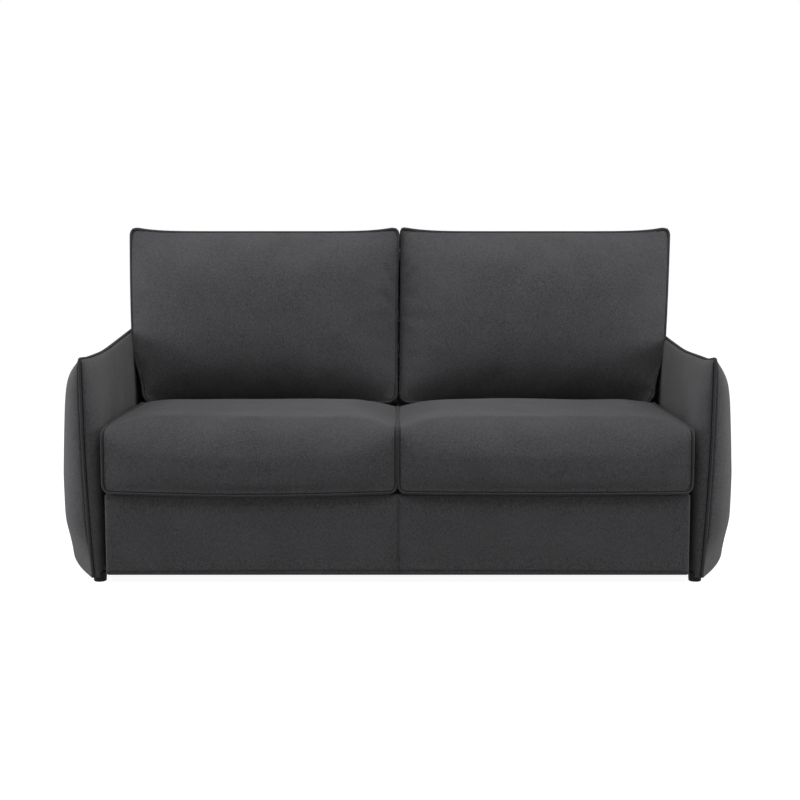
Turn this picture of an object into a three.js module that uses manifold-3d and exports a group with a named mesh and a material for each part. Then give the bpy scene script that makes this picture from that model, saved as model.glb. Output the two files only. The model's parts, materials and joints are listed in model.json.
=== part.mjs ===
// Two-seat sleeper sofa. Its bed is three sections that tip over the front panel together with the cushions.
// Millimetres: +X is the right side seen from the front, -Y is the front, +Z is up.
// The origin lies on the floor under the middle of the whole sofa.

import * as THREE from 'three';
import { mergeVertices } from 'three/addons/utils/BufferGeometryUtils.js';
import Module from 'manifold-3d';

const wasm = await Module();
wasm.setup();

// Overall sizes.
const overallWidth = 1900;
const overallDepth = 980;
const overallHeight = 950;
const seatHeight = 444;
const footHeight = 26;

// Clearances that many pieces share.
const seatGap = 0.3;
const pinGap = 0.3;
const cutOverrun = 2;
const weldDepth = 1;

// Arms.
const armWidth = 148;
const armFrontHeight = 592;
const armRearHeight = 642;
const armSeamTopInset = 116;
const armSeamBottomInset = 139;
const armUndersideHeight = 22;
const armPadEdge = 5;
const armCornerRadius = 24;
const armRidgeWidth = 8;
const armRollDepth = 18;
const armRollLength = 55;
const armRollTopHeight = 214;
const armRollFade = 26;
const armRearRecess = 10;
const armRecessStart = 440;
const armRecessLength = 80;
const armBoardThickness = 20;
const armBoardInset = 16;
const armBoardFront = 45;
const armBoardTopCover = 52;
const armBoardRearCover = 12;
const armPostFrontCover = 18;
const armPostRear = 50;
const armPostSideCover = 8;
const armPostTopInset = 9;
const armPadSkirtHeight = 105;

// Front panel and the batten behind it.
const cushionOverhang = 18;
const panelSetback = 4;
const panelThickness = 26;
const panelCover = 8;
const panelCoverEdge = 4;
const panelSideGap = 9;
const panelBottomHeight = 22;
const panelCornerRadius = 6;
const battenThickness = 12;
const battenHeight = 70;
const battenEndInset = 14;

// Back panel and its side wings.
const backThickness = 30;
const backCover = 7;
const backTopHeight = 880;
const backBottomHeight = 38;
const backCornerRadius = 18;
const backEdgeRadius = 6;
const wingThickness = 22;
const wingInset = 5;
const wingBottomHeight = 505;
const wingTopDrop = 10;
const wingFrontClearance = 9;
const wingEdgeRadius = 5;

// Steel base.
const baseRailWidth = 28;
const baseRailHeight = 40;
const baseUndersideHeight = 30;
const baseEarThickness = 6;
const baseEarRadius = 18;
const baseRearRailDepth = 30;
const bracketLength = 80;
const bracketFrontOffset = 110;
const bracketRearOffset = 700;

// Feet.
const footTopRadius = 18.5;
const footBottomRadius = 17;
const footBevel = 2;
const footSideInset = 153;
const footFrontInset = 25;
const footRearInset = 75;

// Bed sections, shared sizes.
const sectionTube = 25;
const slatWidth = 55;
const slatThickness = 8;
const slatPitch = 112;
const sectionUndersideClearance = 5;
const mattressThickness = 90;
const mattressInset = 16;
const mattressEdgeRadius = 12;
const mattressCornerRadius = 20;
const foldGap = 4;
const endTrim = 2;
const hingePlateThickness = 5;
const hingePlateRunGap = 1.5;
const hingeArmRadius = 12;
const hingeArmReach = 105;
const hingeLeafReach = 100;
const spacerLength = 50;
const spacerCover = 1.5;
const frameEndSetback = 14;

// Lift links that carry the head section.
const linkLength = 170;
const linkRestAngle = THREE.MathUtils.degToRad(-30);
const linkOpenAngle = THREE.MathUtils.degToRad(90);
const linkWidth = 24;
const linkThickness = 8;
const linkSideGap = 7;
const frontLinkPinOffset = 248;
const rearLinkPinOffset = 668;

// Head section, the lowest of the stack.
const pivotSetback = 22;
const headFrameSetback = 75;
const headRearClearance = 25;
const headFrameEnd = 10;

// Seat section.
const seatFrameSetback = 12;
const cushionLipDrop = 22;
const lipClearance = 3.5;
const cushionCentreGap = 5;
const seatCushionRear = 52;
const seatCushionLip = 68;
const seatFrontRadius = 100;
const seatSideRadius = 26;
const seatRearRadius = 26;
const seatRearDrop = 24;
const seatFrontDrop = 9;
const seatEdgeDrop = 34;
const seatEdgeSpread = 140;
const seatFrontDrawIn = 9;
const seatLipRadius = 9;

// Back section, reclined behind the back cushions.
const backRecline = THREE.MathUtils.degToRad(12);
const footLength = 530;
const footFrameEnd = 5;
const backClearance = 14;
const backCushionSink = 34;
const backCushionEdge = 124;
const backCushionTopThinning = 14;
const backCushionCrown = 50;
const backCushionCorner = 34;
const backCushionDrawIn = 7;
const backCushionTopSag = 13;
const backCushionShoulderSpread = 38;
const backCushionTopSpread = 14;
const backCushionRearInset = 14;
const backCushionSideGap = 22;
const backCushionFrontRadius = 16;
const pullTabWidth = 40;
const pullTabLength = 85;
const pullTabThickness = 4;

// Legs that swing down under the open bed.
const legThickness = 5;
const legWidth = 24;
const legSideClearance = 2.5;
const legCushionGap = 7;
const legFloorGap = 1.5;
const middleLegOffset = 330;
const footLegOffset = 165;

// Pins.
const pinRadius = 6;
const pinHeadRadius = 10;
const pinHeadThickness = 3;
const axleRadius = 7;
const axleCollarRadius = 11;
const axleCollarThickness = 3;
const axleEndGap = 0.5;
const pinSides = 12;

// Across the sofa, worked from the arm's inner face towards the middle.
const halfWidth = overallWidth / 2;
const armInnerX = halfWidth - armWidth;
const armRearInnerX = armInnerX + armRearRecess;
const armBoardInnerX = armInnerX + armBoardInset;
const armBoardOuterX = armBoardInnerX + armBoardThickness;
const legOuterX = armInnerX - legSideClearance;
const legInnerX = legOuterX - legThickness;
const cushionHalfWidth = legInnerX - legCushionGap;
const panelHalfWidth = armInnerX - armRollDepth - panelSideGap;
const baseRailOuterX = armInnerX - armRollDepth;
const baseRailInnerX = baseRailOuterX - baseRailWidth;
const baseEarInnerX = baseRailInnerX - baseEarThickness;
const linkOuterX = baseEarInnerX - linkSideGap;
const linkInnerX = linkOuterX - linkThickness;
const outerPlateOuterX = linkInnerX - linkSideGap;
const outerPlateInnerX = outerPlateOuterX - hingePlateThickness;
const innerPlateOuterX = outerPlateInnerX - hingePlateRunGap;
const innerPlateInnerX = innerPlateOuterX - hingePlateThickness;
const innerPlateBackX = innerPlateInnerX - weldDepth;
const frameHalfWidth = innerPlateInnerX;
const mattressHalfWidth = frameHalfWidth - mattressInset;

// Front to back.
const frontY = -overallDepth / 2;
const rearY = overallDepth / 2;
const armFrontY = frontY + cushionOverhang;
const armDepth = rearY - armFrontY;
const panelFaceY = armFrontY + panelSetback;
const panelRearY = panelFaceY + panelThickness;
const battenFrontY = panelRearY + seatGap;
const battenRearY = battenFrontY + battenThickness;
const foldPivotY = panelRearY + pivotSetback;
const backFrontY = rearY - backThickness;
const baseRailFrontY = battenRearY + seatGap;
const baseRailRearY = backFrontY - seatGap;
const rearRailFrontY = baseRailRearY - baseRearRailDepth;
const linkRearSwing = linkLength * (1 - Math.cos(linkRestAngle));
const headLength = rearRailFrontY - headRearClearance - linkRearSwing - foldPivotY;
const sectionHalfDepth = sectionTube / 2 + seatGap + mattressThickness;
const footRearReach = footLength * Math.sin(backRecline) + sectionHalfDepth * Math.cos(backRecline);
const backPivotY = backFrontY - backClearance - footRearReach;
const seatLength = backPivotY - foldPivotY;

// Heights.
const headFrameBottomZ = footHeight + sectionUndersideClearance;
const frameOffset = foldGap / 2 + mattressThickness + seatGap + sectionTube / 2;
const foldPivotZ = headFrameBottomZ + sectionTube / 2 + frameOffset;
const backPivotZ = foldPivotZ + frameOffset;
const seatFrameTopZ = backPivotZ + sectionTube / 2;
const cushionBottomZ = seatFrameTopZ + seatGap;
const lipBottomZ = cushionBottomZ - cushionLipDrop;
const panelTopZ = lipBottomZ - lipClearance;
const linkLift = linkLength * (Math.sin(linkOpenAngle) - Math.sin(linkRestAngle));
const openFrameZ = foldPivotZ + linkLift - frameOffset;
const legLength = openFrameZ - legWidth / 2 - legFloorGap;
const baseRailTopZ = baseUndersideHeight + baseRailHeight;
const linkDrop = linkLength * Math.sin(linkRestAngle);
const linkReach = linkLength * Math.cos(linkRestAngle);
const basePivotZ = headFrameBottomZ + sectionTube / 2 - linkDrop;

const sides = [['left', -1], ['right', 1]];

// Finishes.
const fabric = { color: 0x4b4b4e, roughness: 0.95, metalness: 0 };
const ticking = { color: 0xd9d6cf, roughness: 0.9, metalness: 0 };
const steel = { color: 0x2c2d2f, roughness: 0.5, metalness: 0.8 };
const zinc = { color: 0x9a9c9e, roughness: 0.35, metalness: 0.9 };
const timber = { color: 0xb58c5e, roughness: 0.8, metalness: 0 };
const plastic = { color: 0x151516, roughness: 0.6, metalness: 0 };
const webbing = { color: 0x1d1d1f, roughness: 0.95, metalness: 0 };

function piece(name, geometry, finish) {
  const mesh = new THREE.Mesh(geometry, new THREE.MeshStandardMaterial(finish));
  mesh.name = name;
  return mesh;
}

// Closed geometry to a solid for joins and cuts, and back.
function toSolid(geometry) {
  const bare = geometry.clone();
  bare.deleteAttribute('normal');
  bare.deleteAttribute('uv');
  const merged = mergeVertices(bare);
  const triVerts = new Uint32Array(merged.index.array);
  const vertProperties = merged.attributes.position.array;
  return new wasm.Manifold(new wasm.Mesh({ numProp: 3, vertProperties, triVerts }));
}

function toGeometry(solid) {
  const mesh = solid.getMesh();
  const geometry = new THREE.BufferGeometry();
  geometry.setAttribute('position', new THREE.BufferAttribute(new Float32Array(mesh.vertProperties), 3));
  geometry.setIndex(new THREE.BufferAttribute(new Uint32Array(mesh.triVerts), 1));
  geometry.computeVertexNormals();
  return geometry;
}

function join(first, ...others) {
  return others.reduce((whole, other) => whole.add(other), first);
}

function cut(first, ...others) {
  return others.reduce((whole, other) => whole.subtract(other), first);
}

function boxSolid(fromX, toX, fromY, toY, fromZ, toZ) {
  const geometry = new THREE.BoxGeometry(toX - fromX, toY - fromY, toZ - fromZ);
  geometry.translate((fromX + toX) / 2, (fromY + toY) / 2, (fromZ + toZ) / 2);
  return toSolid(geometry);
}

// A box on one side of the sofa, from its distance inside to its distance outside the middle.
function sideBox(side, innerX, outerX, fromY, toY, fromZ, toZ) {
  const fromX = Math.min(side * innerX, side * outerX);
  const toX = Math.max(side * innerX, side * outerX);
  return boxSolid(fromX, toX, fromY, toY, fromZ, toZ);
}

// An outline in the Y-Z plane, given a thickness across the sofa on one side.
function sidePlate(side, outline, innerX, outerX) {
  const settings = { depth: outerX - innerX, bevelEnabled: false, curveSegments: pinSides / 2 };
  const geometry = new THREE.ExtrudeGeometry(outline, settings);
  const lying = new THREE.Matrix4().makeBasis(
    new THREE.Vector3(0, 1, 0),
    new THREE.Vector3(0, 0, 1),
    new THREE.Vector3(1, 0, 0),
  );
  geometry.applyMatrix4(lying);
  geometry.translate(side > 0 ? innerX : -outerX, 0, 0);
  return toSolid(geometry);
}

// A bar with two round ends, from one pivot to another.
function barOutline(fromY, fromZ, toY, toZ, radius) {
  const angle = Math.atan2(toZ - fromZ, toY - fromY);
  const shape = new THREE.Shape();
  shape.absarc(fromY, fromZ, radius, angle + Math.PI / 2, angle + 3 * Math.PI / 2, false);
  shape.absarc(toY, toZ, radius, angle - Math.PI / 2, angle + Math.PI / 2, false);
  return shape;
}

function rodSolid(side, radius, innerX, outerX, y, z) {
  const geometry = new THREE.CylinderGeometry(radius, radius, outerX - innerX, pinSides);
  geometry.rotateZ(Math.PI / 2);
  geometry.translate(side * (innerX + outerX) / 2, y, z);
  return toSolid(geometry);
}

// A slab with rounded corners in its face and rounded edges, centred on its own middle.
function softSlab(width, height, thickness, cornerRadius, edgeRadius) {
  const shape = new THREE.Shape();
  const w = width / 2;
  const h = height / 2;
  shape.moveTo(w, h - cornerRadius);
  shape.absarc(w - cornerRadius, h - cornerRadius, cornerRadius, 0, Math.PI / 2, false);
  shape.absarc(cornerRadius - w, h - cornerRadius, cornerRadius, Math.PI / 2, Math.PI, false);
  shape.absarc(cornerRadius - w, cornerRadius - h, cornerRadius, Math.PI, 3 * Math.PI / 2, false);
  shape.absarc(w - cornerRadius, cornerRadius - h, cornerRadius, 3 * Math.PI / 2, 2 * Math.PI, false);
  const geometry = new THREE.ExtrudeGeometry(shape, {
    depth: thickness - 2 * edgeRadius,
    bevelThickness: edgeRadius,
    bevelSize: edgeRadius,
    bevelOffset: -edgeRadius,
    bevelSegments: 2,
    curveSegments: 3,
  });
  geometry.translate(0, 0, edgeRadius - thickness / 2);
  return geometry;
}

// A slab standing in the X-Z plane, its thickness along Y.
function standingSlab(width, height, thickness, cornerRadius, edgeRadius, centreY, centreZ) {
  const geometry = softSlab(width, height, thickness, cornerRadius, edgeRadius);
  geometry.rotateX(Math.PI / 2);
  geometry.translate(0, centreY, centreZ);
  return geometry;
}

// Rings of equal count, skinned in order. Each ring runs anticlockwise seen from the last ring's outside.
function loft(rings, cap) {
  const count = rings[0].length;
  const points = rings.flat();
  const index = [];
  for (let ring = 0; ring + 1 < rings.length; ring += 1) {
    for (let k = 0; k < count; k += 1) {
      const here = ring * count + k;
      const next = ring * count + (k + 1) % count;
      index.push(here, next, next + count, here, next + count, here + count);
    }
  }
  const last = (rings.length - 1) * count;
  for (const [a, b, c] of cap(rings[0], points)) {
    index.push(c, b, a);
  }
  for (const [a, b, c] of cap(rings[rings.length - 1], points)) {
    index.push(...[a, b, c].map((k) => (k < count ? last + k : k)));
  }
  const geometry = new THREE.BufferGeometry().setFromPoints(points);
  geometry.setIndex(index);
  geometry.computeVertexNormals();
  return geometry;
}

// Closes a round ring with a fan about a new point in its middle.
function fanCap(ring, points) {
  const middle = ring.reduce((sum, point) => sum.add(point), new THREE.Vector3()).divideScalar(ring.length);
  const apex = points.push(middle) - 1;
  return ring.map((point, k) => [apex, k, (k + 1) % ring.length]);
}

// Closes a long ring with a strip between its two sides, from its foremost point to its rearmost.
function stripCap(ring) {
  const count = ring.length;
  const ys = ring.map((point) => point.y);
  const start = ys.indexOf(Math.min(...ys));
  const end = ys.indexOf(Math.max(...ys));
  const faces = [];
  let ahead = start;
  let behind = start;
  while (ahead !== end || behind !== end) {
    const nextAhead = (ahead + 1) % count;
    const nextBehind = (behind + count - 1) % count;
    if (behind === end || (ahead !== end && ys[nextAhead] <= ys[nextBehind])) {
      faces.push([ahead, nextAhead, behind]);
      ahead = nextAhead;
    } else {
      faces.push([ahead, nextBehind, behind]);
      behind = nextBehind;
    }
  }
  return faces.filter(([a, b, c]) => a !== b && b !== c && c !== a);
}

// A quarter ellipse: 0 at share 0, rising steeply, 1 at share 1 and beyond.
function roundRise(share) {
  const rest = 1 - THREE.MathUtils.clamp(share, 0, 1);
  return Math.sqrt(1 - rest * rest);
}

// Arm board, with a post at its front that the foot and the roll of the pad need.
function armBoardSolid(grow) {
  const topZ = armFrontHeight - armBoardTopCover;
  const board = sideBox(
    1,
    armBoardInnerX - grow,
    armBoardOuterX + grow,
    armFrontY + armBoardFront - grow,
    rearY - armBoardRearCover + grow,
    footHeight - grow,
    topZ + grow,
  );
  const postInnerX = armInnerX - armRollDepth + armPostSideCover;
  const outline = new THREE.Shape([
    new THREE.Vector2(postInnerX - grow, footHeight - grow),
    new THREE.Vector2(armBoardInnerX + grow, footHeight - grow),
    new THREE.Vector2(armBoardOuterX + grow, armRollTopHeight),
    new THREE.Vector2(armBoardOuterX + grow, topZ - armPostTopInset + grow),
    new THREE.Vector2(armBoardInnerX - grow, topZ - armPostTopInset + grow),
    new THREE.Vector2(armBoardInnerX - grow, armRollTopHeight + armRollFade),
    new THREE.Vector2(postInnerX - grow, armRollTopHeight - armPostSideCover + grow),
  ]);
  const depth = armPostRear - armPostFrontCover + 2 * grow;
  const post = new THREE.ExtrudeGeometry(outline, { depth, bevelEnabled: false });
  post.rotateX(Math.PI / 2);
  post.translate(0, armFrontY + armPostRear + grow, 0);
  return join(board, toSolid(post));
}

// Heights on an arm pad are shares of the way from its underside to the sloping top seam.
const armWidestShare = 0.45;
const armLowShares = [0, 0.03, 0.08, 0.16, 0.25];
const armHighShares = [0.57, 0.68, 0.78, 0.86, 0.92, 0.955, 0.98, 1];
const armLevelShares = [...armLowShares, armWidestShare, ...armHighShares];
const armRollFadeShares = [0, 0.5, 1];
const armShoulderStartShare = 0.62;
const armShoulderRiseShare = 0.72;
const armShoulderSpreadShare = 0.08;
const armBellyPower = 0.6;
const armFootReachShare = 0.9;
const armFootPower = 2.6;
const armFootPlanShare = 0.3;
const armFootPlanPower = 0.7;

// Towards the rear the outer pad's shoulder sinks below its top seam, so only the seam shows from the front.
const armSinkShare = 0.13;
const armSinkFromShare = 0.08;
const armSinkToShare = 0.6;
const armSinkLowShare = 0.72;
const armSinkHighShare = 0.97;
const armSinkSeamShare = 0.05;
const armSeamPower = 2.2;
const armClimbStartShare = 0.25;
const armClimbPower = 1.15;
const armClimbMiddleShare = 0.77;
const armPlanRiseShare = 0.31;
const armPlanPower = 0.42;
const armRearRoundShare = 0.07;
const armRearFloorShare = 0.72;
const armPlanShares = [0, 0.008, 0.025, 0.06, 0.12, 0.2, 0.31, 0.5, 0.7, 0.86, 0.93, 0.965, 0.99, 1];
const armCornerSteps = 4;

function armLevels() {
  const rollLevels = armRollFadeShares.map((share) => {
    const height = armRollTopHeight + armRollFade * share;
    return (height - armUndersideHeight) / (armFrontHeight - armUndersideHeight);
  });
  return [...armLevelShares, ...rollLevels].sort((a, b) => a - b);
}

// The top seam runs level at the front and then climbs to the back.
function armPoint(x, y, level) {
  const climb = ((y - armFrontY) / armDepth - armClimbStartShare) / (1 - armClimbStartShare);
  const topZ = armFrontHeight + (armRearHeight - armFrontHeight) * Math.max(climb, 0) ** armClimbPower;
  return new THREE.Vector3(x, y, armUndersideHeight + level * (topZ - armUndersideHeight));
}

function armSeamX(level) {
  const drift = 1 - (1 - level) ** armSeamPower;
  return halfWidth - armSeamBottomInset + (armSeamBottomInset - armSeamTopInset) * drift;
}

// Behind the front edge the two pads part inside the board, wherever the seam lies lower than that.
function armPartingX(level) {
  return Math.max(armSeamX(level), (armBoardInnerX + armBoardOuterX) / 2);
}

function armInnerRing(level) {
  const seamX = armSeamX(level) - seatGap / 2;
  const partingX = armPartingX(level) - seatGap / 2;
  const lean = 1 - roundRise(1 - (level - armShoulderStartShare) / (1 - armShoulderStartShare));
  const shouldered = (x) => x + (seamX - armRidgeWidth - x) * lean;
  const height = level * (armFrontHeight - armUndersideHeight) + armUndersideHeight;
  const roll = 1 - THREE.MathUtils.smoothstep(height, armRollTopHeight, armRollTopHeight + armRollFade);
  const frontX = shouldered(armInnerX - armRollDepth * roll);
  const radius = Math.min(armCornerRadius, (seamX - frontX) / 2);
  const rearInnerX = shouldered(armRearInnerX);
  const innerX = shouldered(armInnerX);
  const ring = [
    armPoint(rearInnerX, rearY, level),
    armPoint(rearInnerX, armFrontY + armClimbMiddleShare * armDepth, level),
    armPoint(rearInnerX, armFrontY + armRecessStart + armRecessLength, level),
    armPoint(innerX, armFrontY + armRecessStart, level),
    armPoint(innerX, armFrontY + armClimbStartShare * armDepth, level),
    armPoint(innerX, armFrontY + armRollLength, level),
  ];
  for (let step = 0; step <= armCornerSteps; step += 1) {
    const turn = Math.PI / 2 * step / armCornerSteps;
    const x = frontX + radius * (1 - Math.cos(turn));
    const y = armFrontY + radius * (1 - Math.sin(turn));
    ring.push(armPoint(x, y, level));
  }
  ring.push(armPoint(seamX, armFrontY, level));
  ring.push(armPoint(partingX, armFrontY + armBoardFront, level));
  ring.push(armPoint(partingX, rearY, level));
  return ring;
}

// How far an arm's outer side stands out at a level, as a share of its widest.
function armBulge(level) {
  const up = (1 - level) / (1 - armWidestShare);
  const down = 1 - level / armWidestShare;
  if (up > 1) {
    return armFootReachShare + (1 - armFootReachShare) * (1 - down ** armFootPower);
  }
  const shoulder = armShoulderRiseShare * (1 - Math.exp(-up / armShoulderSpreadShare));
  return shoulder + (1 - armShoulderRiseShare) * up ** armBellyPower;
}

function armSunkLevel(level, share) {
  const rearward = THREE.MathUtils.smoothstep(share, armSinkFromShare, armSinkToShare);
  const upward = THREE.MathUtils.smoothstep(level, armSinkLowShare, armSinkHighShare);
  const belowSeam = Math.min(1, (1 - level) / armSinkSeamShare);
  return level - armSinkShare * rearward * upward * belowSeam;
}

function armOuterRing(level) {
  const seamX = armSeamX(level) + seatGap / 2;
  const partingX = armPartingX(level) + seatGap / 2;
  const low = 1 - THREE.MathUtils.smoothstep(level, 0, armFootPlanShare);
  const planPower = armPlanPower + (armFootPlanPower - armPlanPower) * low;
  const ring = armPlanShares.map((share) => {
    const rise = Math.min(1, share / armPlanRiseShare) ** planPower;
    const rear = armRearFloorShare + (1 - armRearFloorShare) * roundRise((1 - share) / armRearRoundShare);
    const reach = (halfWidth - seamX - armPadEdge) * armBulge(level) * rise * rear;
    return armPoint(seamX + armPadEdge + reach, armFrontY + share * armDepth, armSunkLevel(level, share));
  });
  ring.push(armPoint(partingX, rearY, level));
  ring.push(armPoint(partingX, armFrontY + armBoardFront, level));
  ring.push(armPoint(seamX, armFrontY, level));
  return ring;
}

function armPads() {
  const board = armBoardSolid(seatGap);
  const skirt = sideBox(
    1,
    baseRailInnerX,
    armBoardInnerX + seatGap,
    armFrontY + armPostRear + seatGap,
    rearY + cutOverrun,
    0,
    armPadSkirtHeight,
  );
  const backSlot = sideBox(
    1,
    baseRailInnerX,
    armBoardInnerX + seatGap,
    backFrontY - seatGap,
    rearY + cutOverrun,
    0,
    overallHeight,
  );
  const sockets = footPlaces().map(([, x, y]) => footSocket(x, y));
  const inner = toSolid(loft(armLevels().map(armInnerRing), stripCap));
  const outer = toSolid(loft(armLevels().map(armOuterRing), stripCap));
  const innerPad = cut(inner, board, skirt, backSlot, ...sockets);
  const outerPad = cut(outer, board, ...sockets);
  return [toGeometry(innerPad), toGeometry(outerPad)];
}

function footPlaces() {
  return [
    ['front', halfWidth - footSideInset, armFrontY + footFrontInset],
    ['rear', (armBoardInnerX + armBoardOuterX) / 2, rearY - footRearInset],
  ];
}

function footSocket(x, y) {
  const radius = footTopRadius + seatGap;
  const geometry = new THREE.CylinderGeometry(radius, radius, 2 * footHeight, 2 * pinSides);
  geometry.rotateX(Math.PI / 2);
  geometry.translate(x, y, 0);
  return toSolid(geometry);
}

function arms() {
  const group = new THREE.Group();
  const board = toGeometry(armBoardSolid(0));
  const [inner, outer] = armPads();
  for (const [word, side] of sides) {
    const meshes = [
      piece(`arm_board_${word}`, board, timber),
      piece(`arm_inner_pad_${word}`, inner, fabric),
      piece(`arm_outer_pad_${word}`, outer, fabric),
    ];
    for (const mesh of meshes) {
      mesh.scale.x = side;
      group.add(mesh);
    }
  }
  return group;
}

function footGeometry() {
  const top = footHeight - seatGap;
  const profile = [
    new THREE.Vector2(0, 0),
    new THREE.Vector2(footBottomRadius - footBevel, 0),
    new THREE.Vector2(footBottomRadius, footBevel),
    new THREE.Vector2(footTopRadius, top),
    new THREE.Vector2(0, top),
  ];
  const geometry = new THREE.LatheGeometry(profile, 2 * pinSides);
  geometry.rotateX(Math.PI / 2);
  return geometry;
}

function feet() {
  const group = new THREE.Group();
  for (const [end, x, y] of footPlaces()) {
    for (const [word, side] of sides) {
      const foot = piece(`foot_${end}_${word}`, footGeometry(), plastic);
      foot.position.set(side * x, y, 0);
      group.add(foot);
    }
  }
  return group;
}

// A board inside a padded cover that is open underneath.
function coveredPanel(names, halfSpan, frontY0, rearY0, bottomZ, topZ, cover, corner, edge, rearCover) {
  const width = 2 * halfSpan;
  const depth = rearY0 - frontY0;
  const middleY = (frontY0 + rearY0) / 2;
  const middleZ = (bottomZ + topZ) / 2;
  const whole = toSolid(standingSlab(width, topZ - bottomZ, depth, corner, edge, middleY, middleZ));
  const board = [
    halfSpan - panelCoverEdge,
    frontY0 + cover,
    rearY0 - rearCover,
    bottomZ + panelCoverEdge,
    topZ - cover,
  ];
  const inside = (grow) => boxSolid(
    -board[0] - grow,
    board[0] + grow,
    board[1] - grow,
    board[2] + (rearCover > 0 ? grow : cutOverrun * grow),
    board[3] - (grow > 0 ? panelCoverEdge + cutOverrun : 0),
    board[4] + grow,
  );
  return [
    piece(names[0], toGeometry(inside(0)), timber),
    piece(names[1], toGeometry(cut(whole, inside(seatGap))), fabric),
  ];
}

function frontPanel() {
  return coveredPanel(
    ['front_panel_board', 'front_panel_cover'],
    panelHalfWidth,
    panelFaceY,
    panelRearY,
    panelBottomHeight,
    panelTopZ,
    panelCover,
    panelCornerRadius,
    panelCoverEdge,
    panelCoverEdge,
  );
}

function backPanel() {
  return coveredPanel(
    ['back_panel_board', 'back_panel_cover'],
    armBoardInnerX - seatGap,
    backFrontY,
    rearY,
    backBottomHeight,
    backTopHeight,
    backCover,
    backCornerRadius,
    backEdgeRadius,
    backCover,
  );
}

// Wings close the sides above the arms and follow the recline of the back section.
function backWings() {
  const outerX = armRearInnerX - wingInset;
  const innerX = outerX - wingThickness;
  const topZ = backTopHeight - wingTopDrop;
  const frontAt = (z) => {
    const offset = wingFrontClearance - sectionTube / 2 - seatGap;
    return backPivotY + (z - backPivotZ) * Math.tan(backRecline) + offset / Math.cos(backRecline);
  };
  const outline = new THREE.Shape([
    new THREE.Vector2(frontAt(wingBottomHeight) + wingEdgeRadius, wingBottomHeight + wingEdgeRadius),
    new THREE.Vector2(backFrontY - seatGap - wingEdgeRadius, wingBottomHeight + wingEdgeRadius),
    new THREE.Vector2(backFrontY - seatGap - wingEdgeRadius, topZ - wingEdgeRadius),
    new THREE.Vector2(frontAt(topZ) + wingEdgeRadius, topZ - wingEdgeRadius),
  ]);
  const settings = {
    depth: wingThickness - 2 * wingEdgeRadius,
    bevelThickness: wingEdgeRadius,
    bevelSize: wingEdgeRadius,
    bevelSegments: 2,
  };
  const geometry = new THREE.ExtrudeGeometry(outline, settings);
  const lying = new THREE.Matrix4().makeBasis(
    new THREE.Vector3(0, 1, 0),
    new THREE.Vector3(0, 0, 1),
    new THREE.Vector3(1, 0, 0),
  );
  geometry.applyMatrix4(lying);
  geometry.translate(innerX + wingEdgeRadius, 0, 0);
  return sides.map(([word, side]) => {
    const wing = piece(`back_wing_${word}`, geometry, fabric);
    wing.scale.x = side;
    return wing;
  });
}

function basePivotY(offset) {
  return foldPivotY + offset - linkReach;
}

const linkPins = [['front', frontLinkPinOffset], ['rear', rearLinkPinOffset]];

// Side rail with two ears for the lift links and two brackets that reach the arm board.
function baseSideRail(word, side) {
  let rail = sideBox(
    side,
    baseRailInnerX,
    baseRailOuterX,
    baseRailFrontY,
    baseRailRearY,
    baseUndersideHeight,
    baseRailTopZ,
  );
  for (const offset of [bracketFrontOffset, bracketRearOffset]) {
    const fromY = baseRailFrontY + offset;
    const bracket = sideBox(
      side,
      baseRailOuterX - weldDepth,
      armBoardInnerX - seatGap,
      fromY,
      fromY + bracketLength,
      baseUndersideHeight,
      baseRailTopZ,
    );
    rail = join(rail, bracket);
  }
  for (const [, offset] of linkPins) {
    const y = basePivotY(offset);
    const outline = barOutline(y, baseUndersideHeight + baseEarRadius, y, basePivotZ, baseEarRadius);
    rail = join(rail, sidePlate(side, outline, baseEarInnerX, baseRailInnerX + weldDepth));
    const bore = rodSolid(
      side,
      pinRadius + pinGap,
      baseEarInnerX - cutOverrun,
      baseRailInnerX + cutOverrun,
      y,
      basePivotZ,
    );
    rail = cut(rail, bore);
  }
  return piece(`base_side_rail_${word}`, toGeometry(rail), steel);
}

function base() {
  const group = new THREE.Group();
  const batten = boxSolid(
    battenEndInset - panelHalfWidth,
    panelHalfWidth - battenEndInset,
    battenFrontY,
    battenRearY,
    baseUndersideHeight,
    baseUndersideHeight + battenHeight,
  );
  const rear = boxSolid(
    seatGap - baseRailInnerX,
    baseRailInnerX - seatGap,
    rearRailFrontY,
    baseRailRearY,
    baseUndersideHeight,
    baseUndersideHeight + baseRearRailDepth,
  );
  group.add(piece('base_front_batten', toGeometry(batten), timber));
  group.add(piece('base_rear_rail', toGeometry(rear), steel));
  for (const [word, side] of sides) {
    group.add(baseSideRail(word, side));
  }
  return group;
}

// A rivet across the sofa: a head, a shank and a closing head.
function rivet(name, side, innerX, outerX, y, z) {
  const shank = rodSolid(side, pinRadius, innerX - pinHeadThickness, outerX + pinHeadThickness, y, z);
  const inner = rodSolid(side, pinHeadRadius, innerX - pinHeadThickness, innerX, y, z);
  const outer = rodSolid(side, pinHeadRadius, outerX, outerX + pinHeadThickness, y, z);
  return piece(name, toGeometry(join(shank, inner, outer)), zinc);
}

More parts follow.
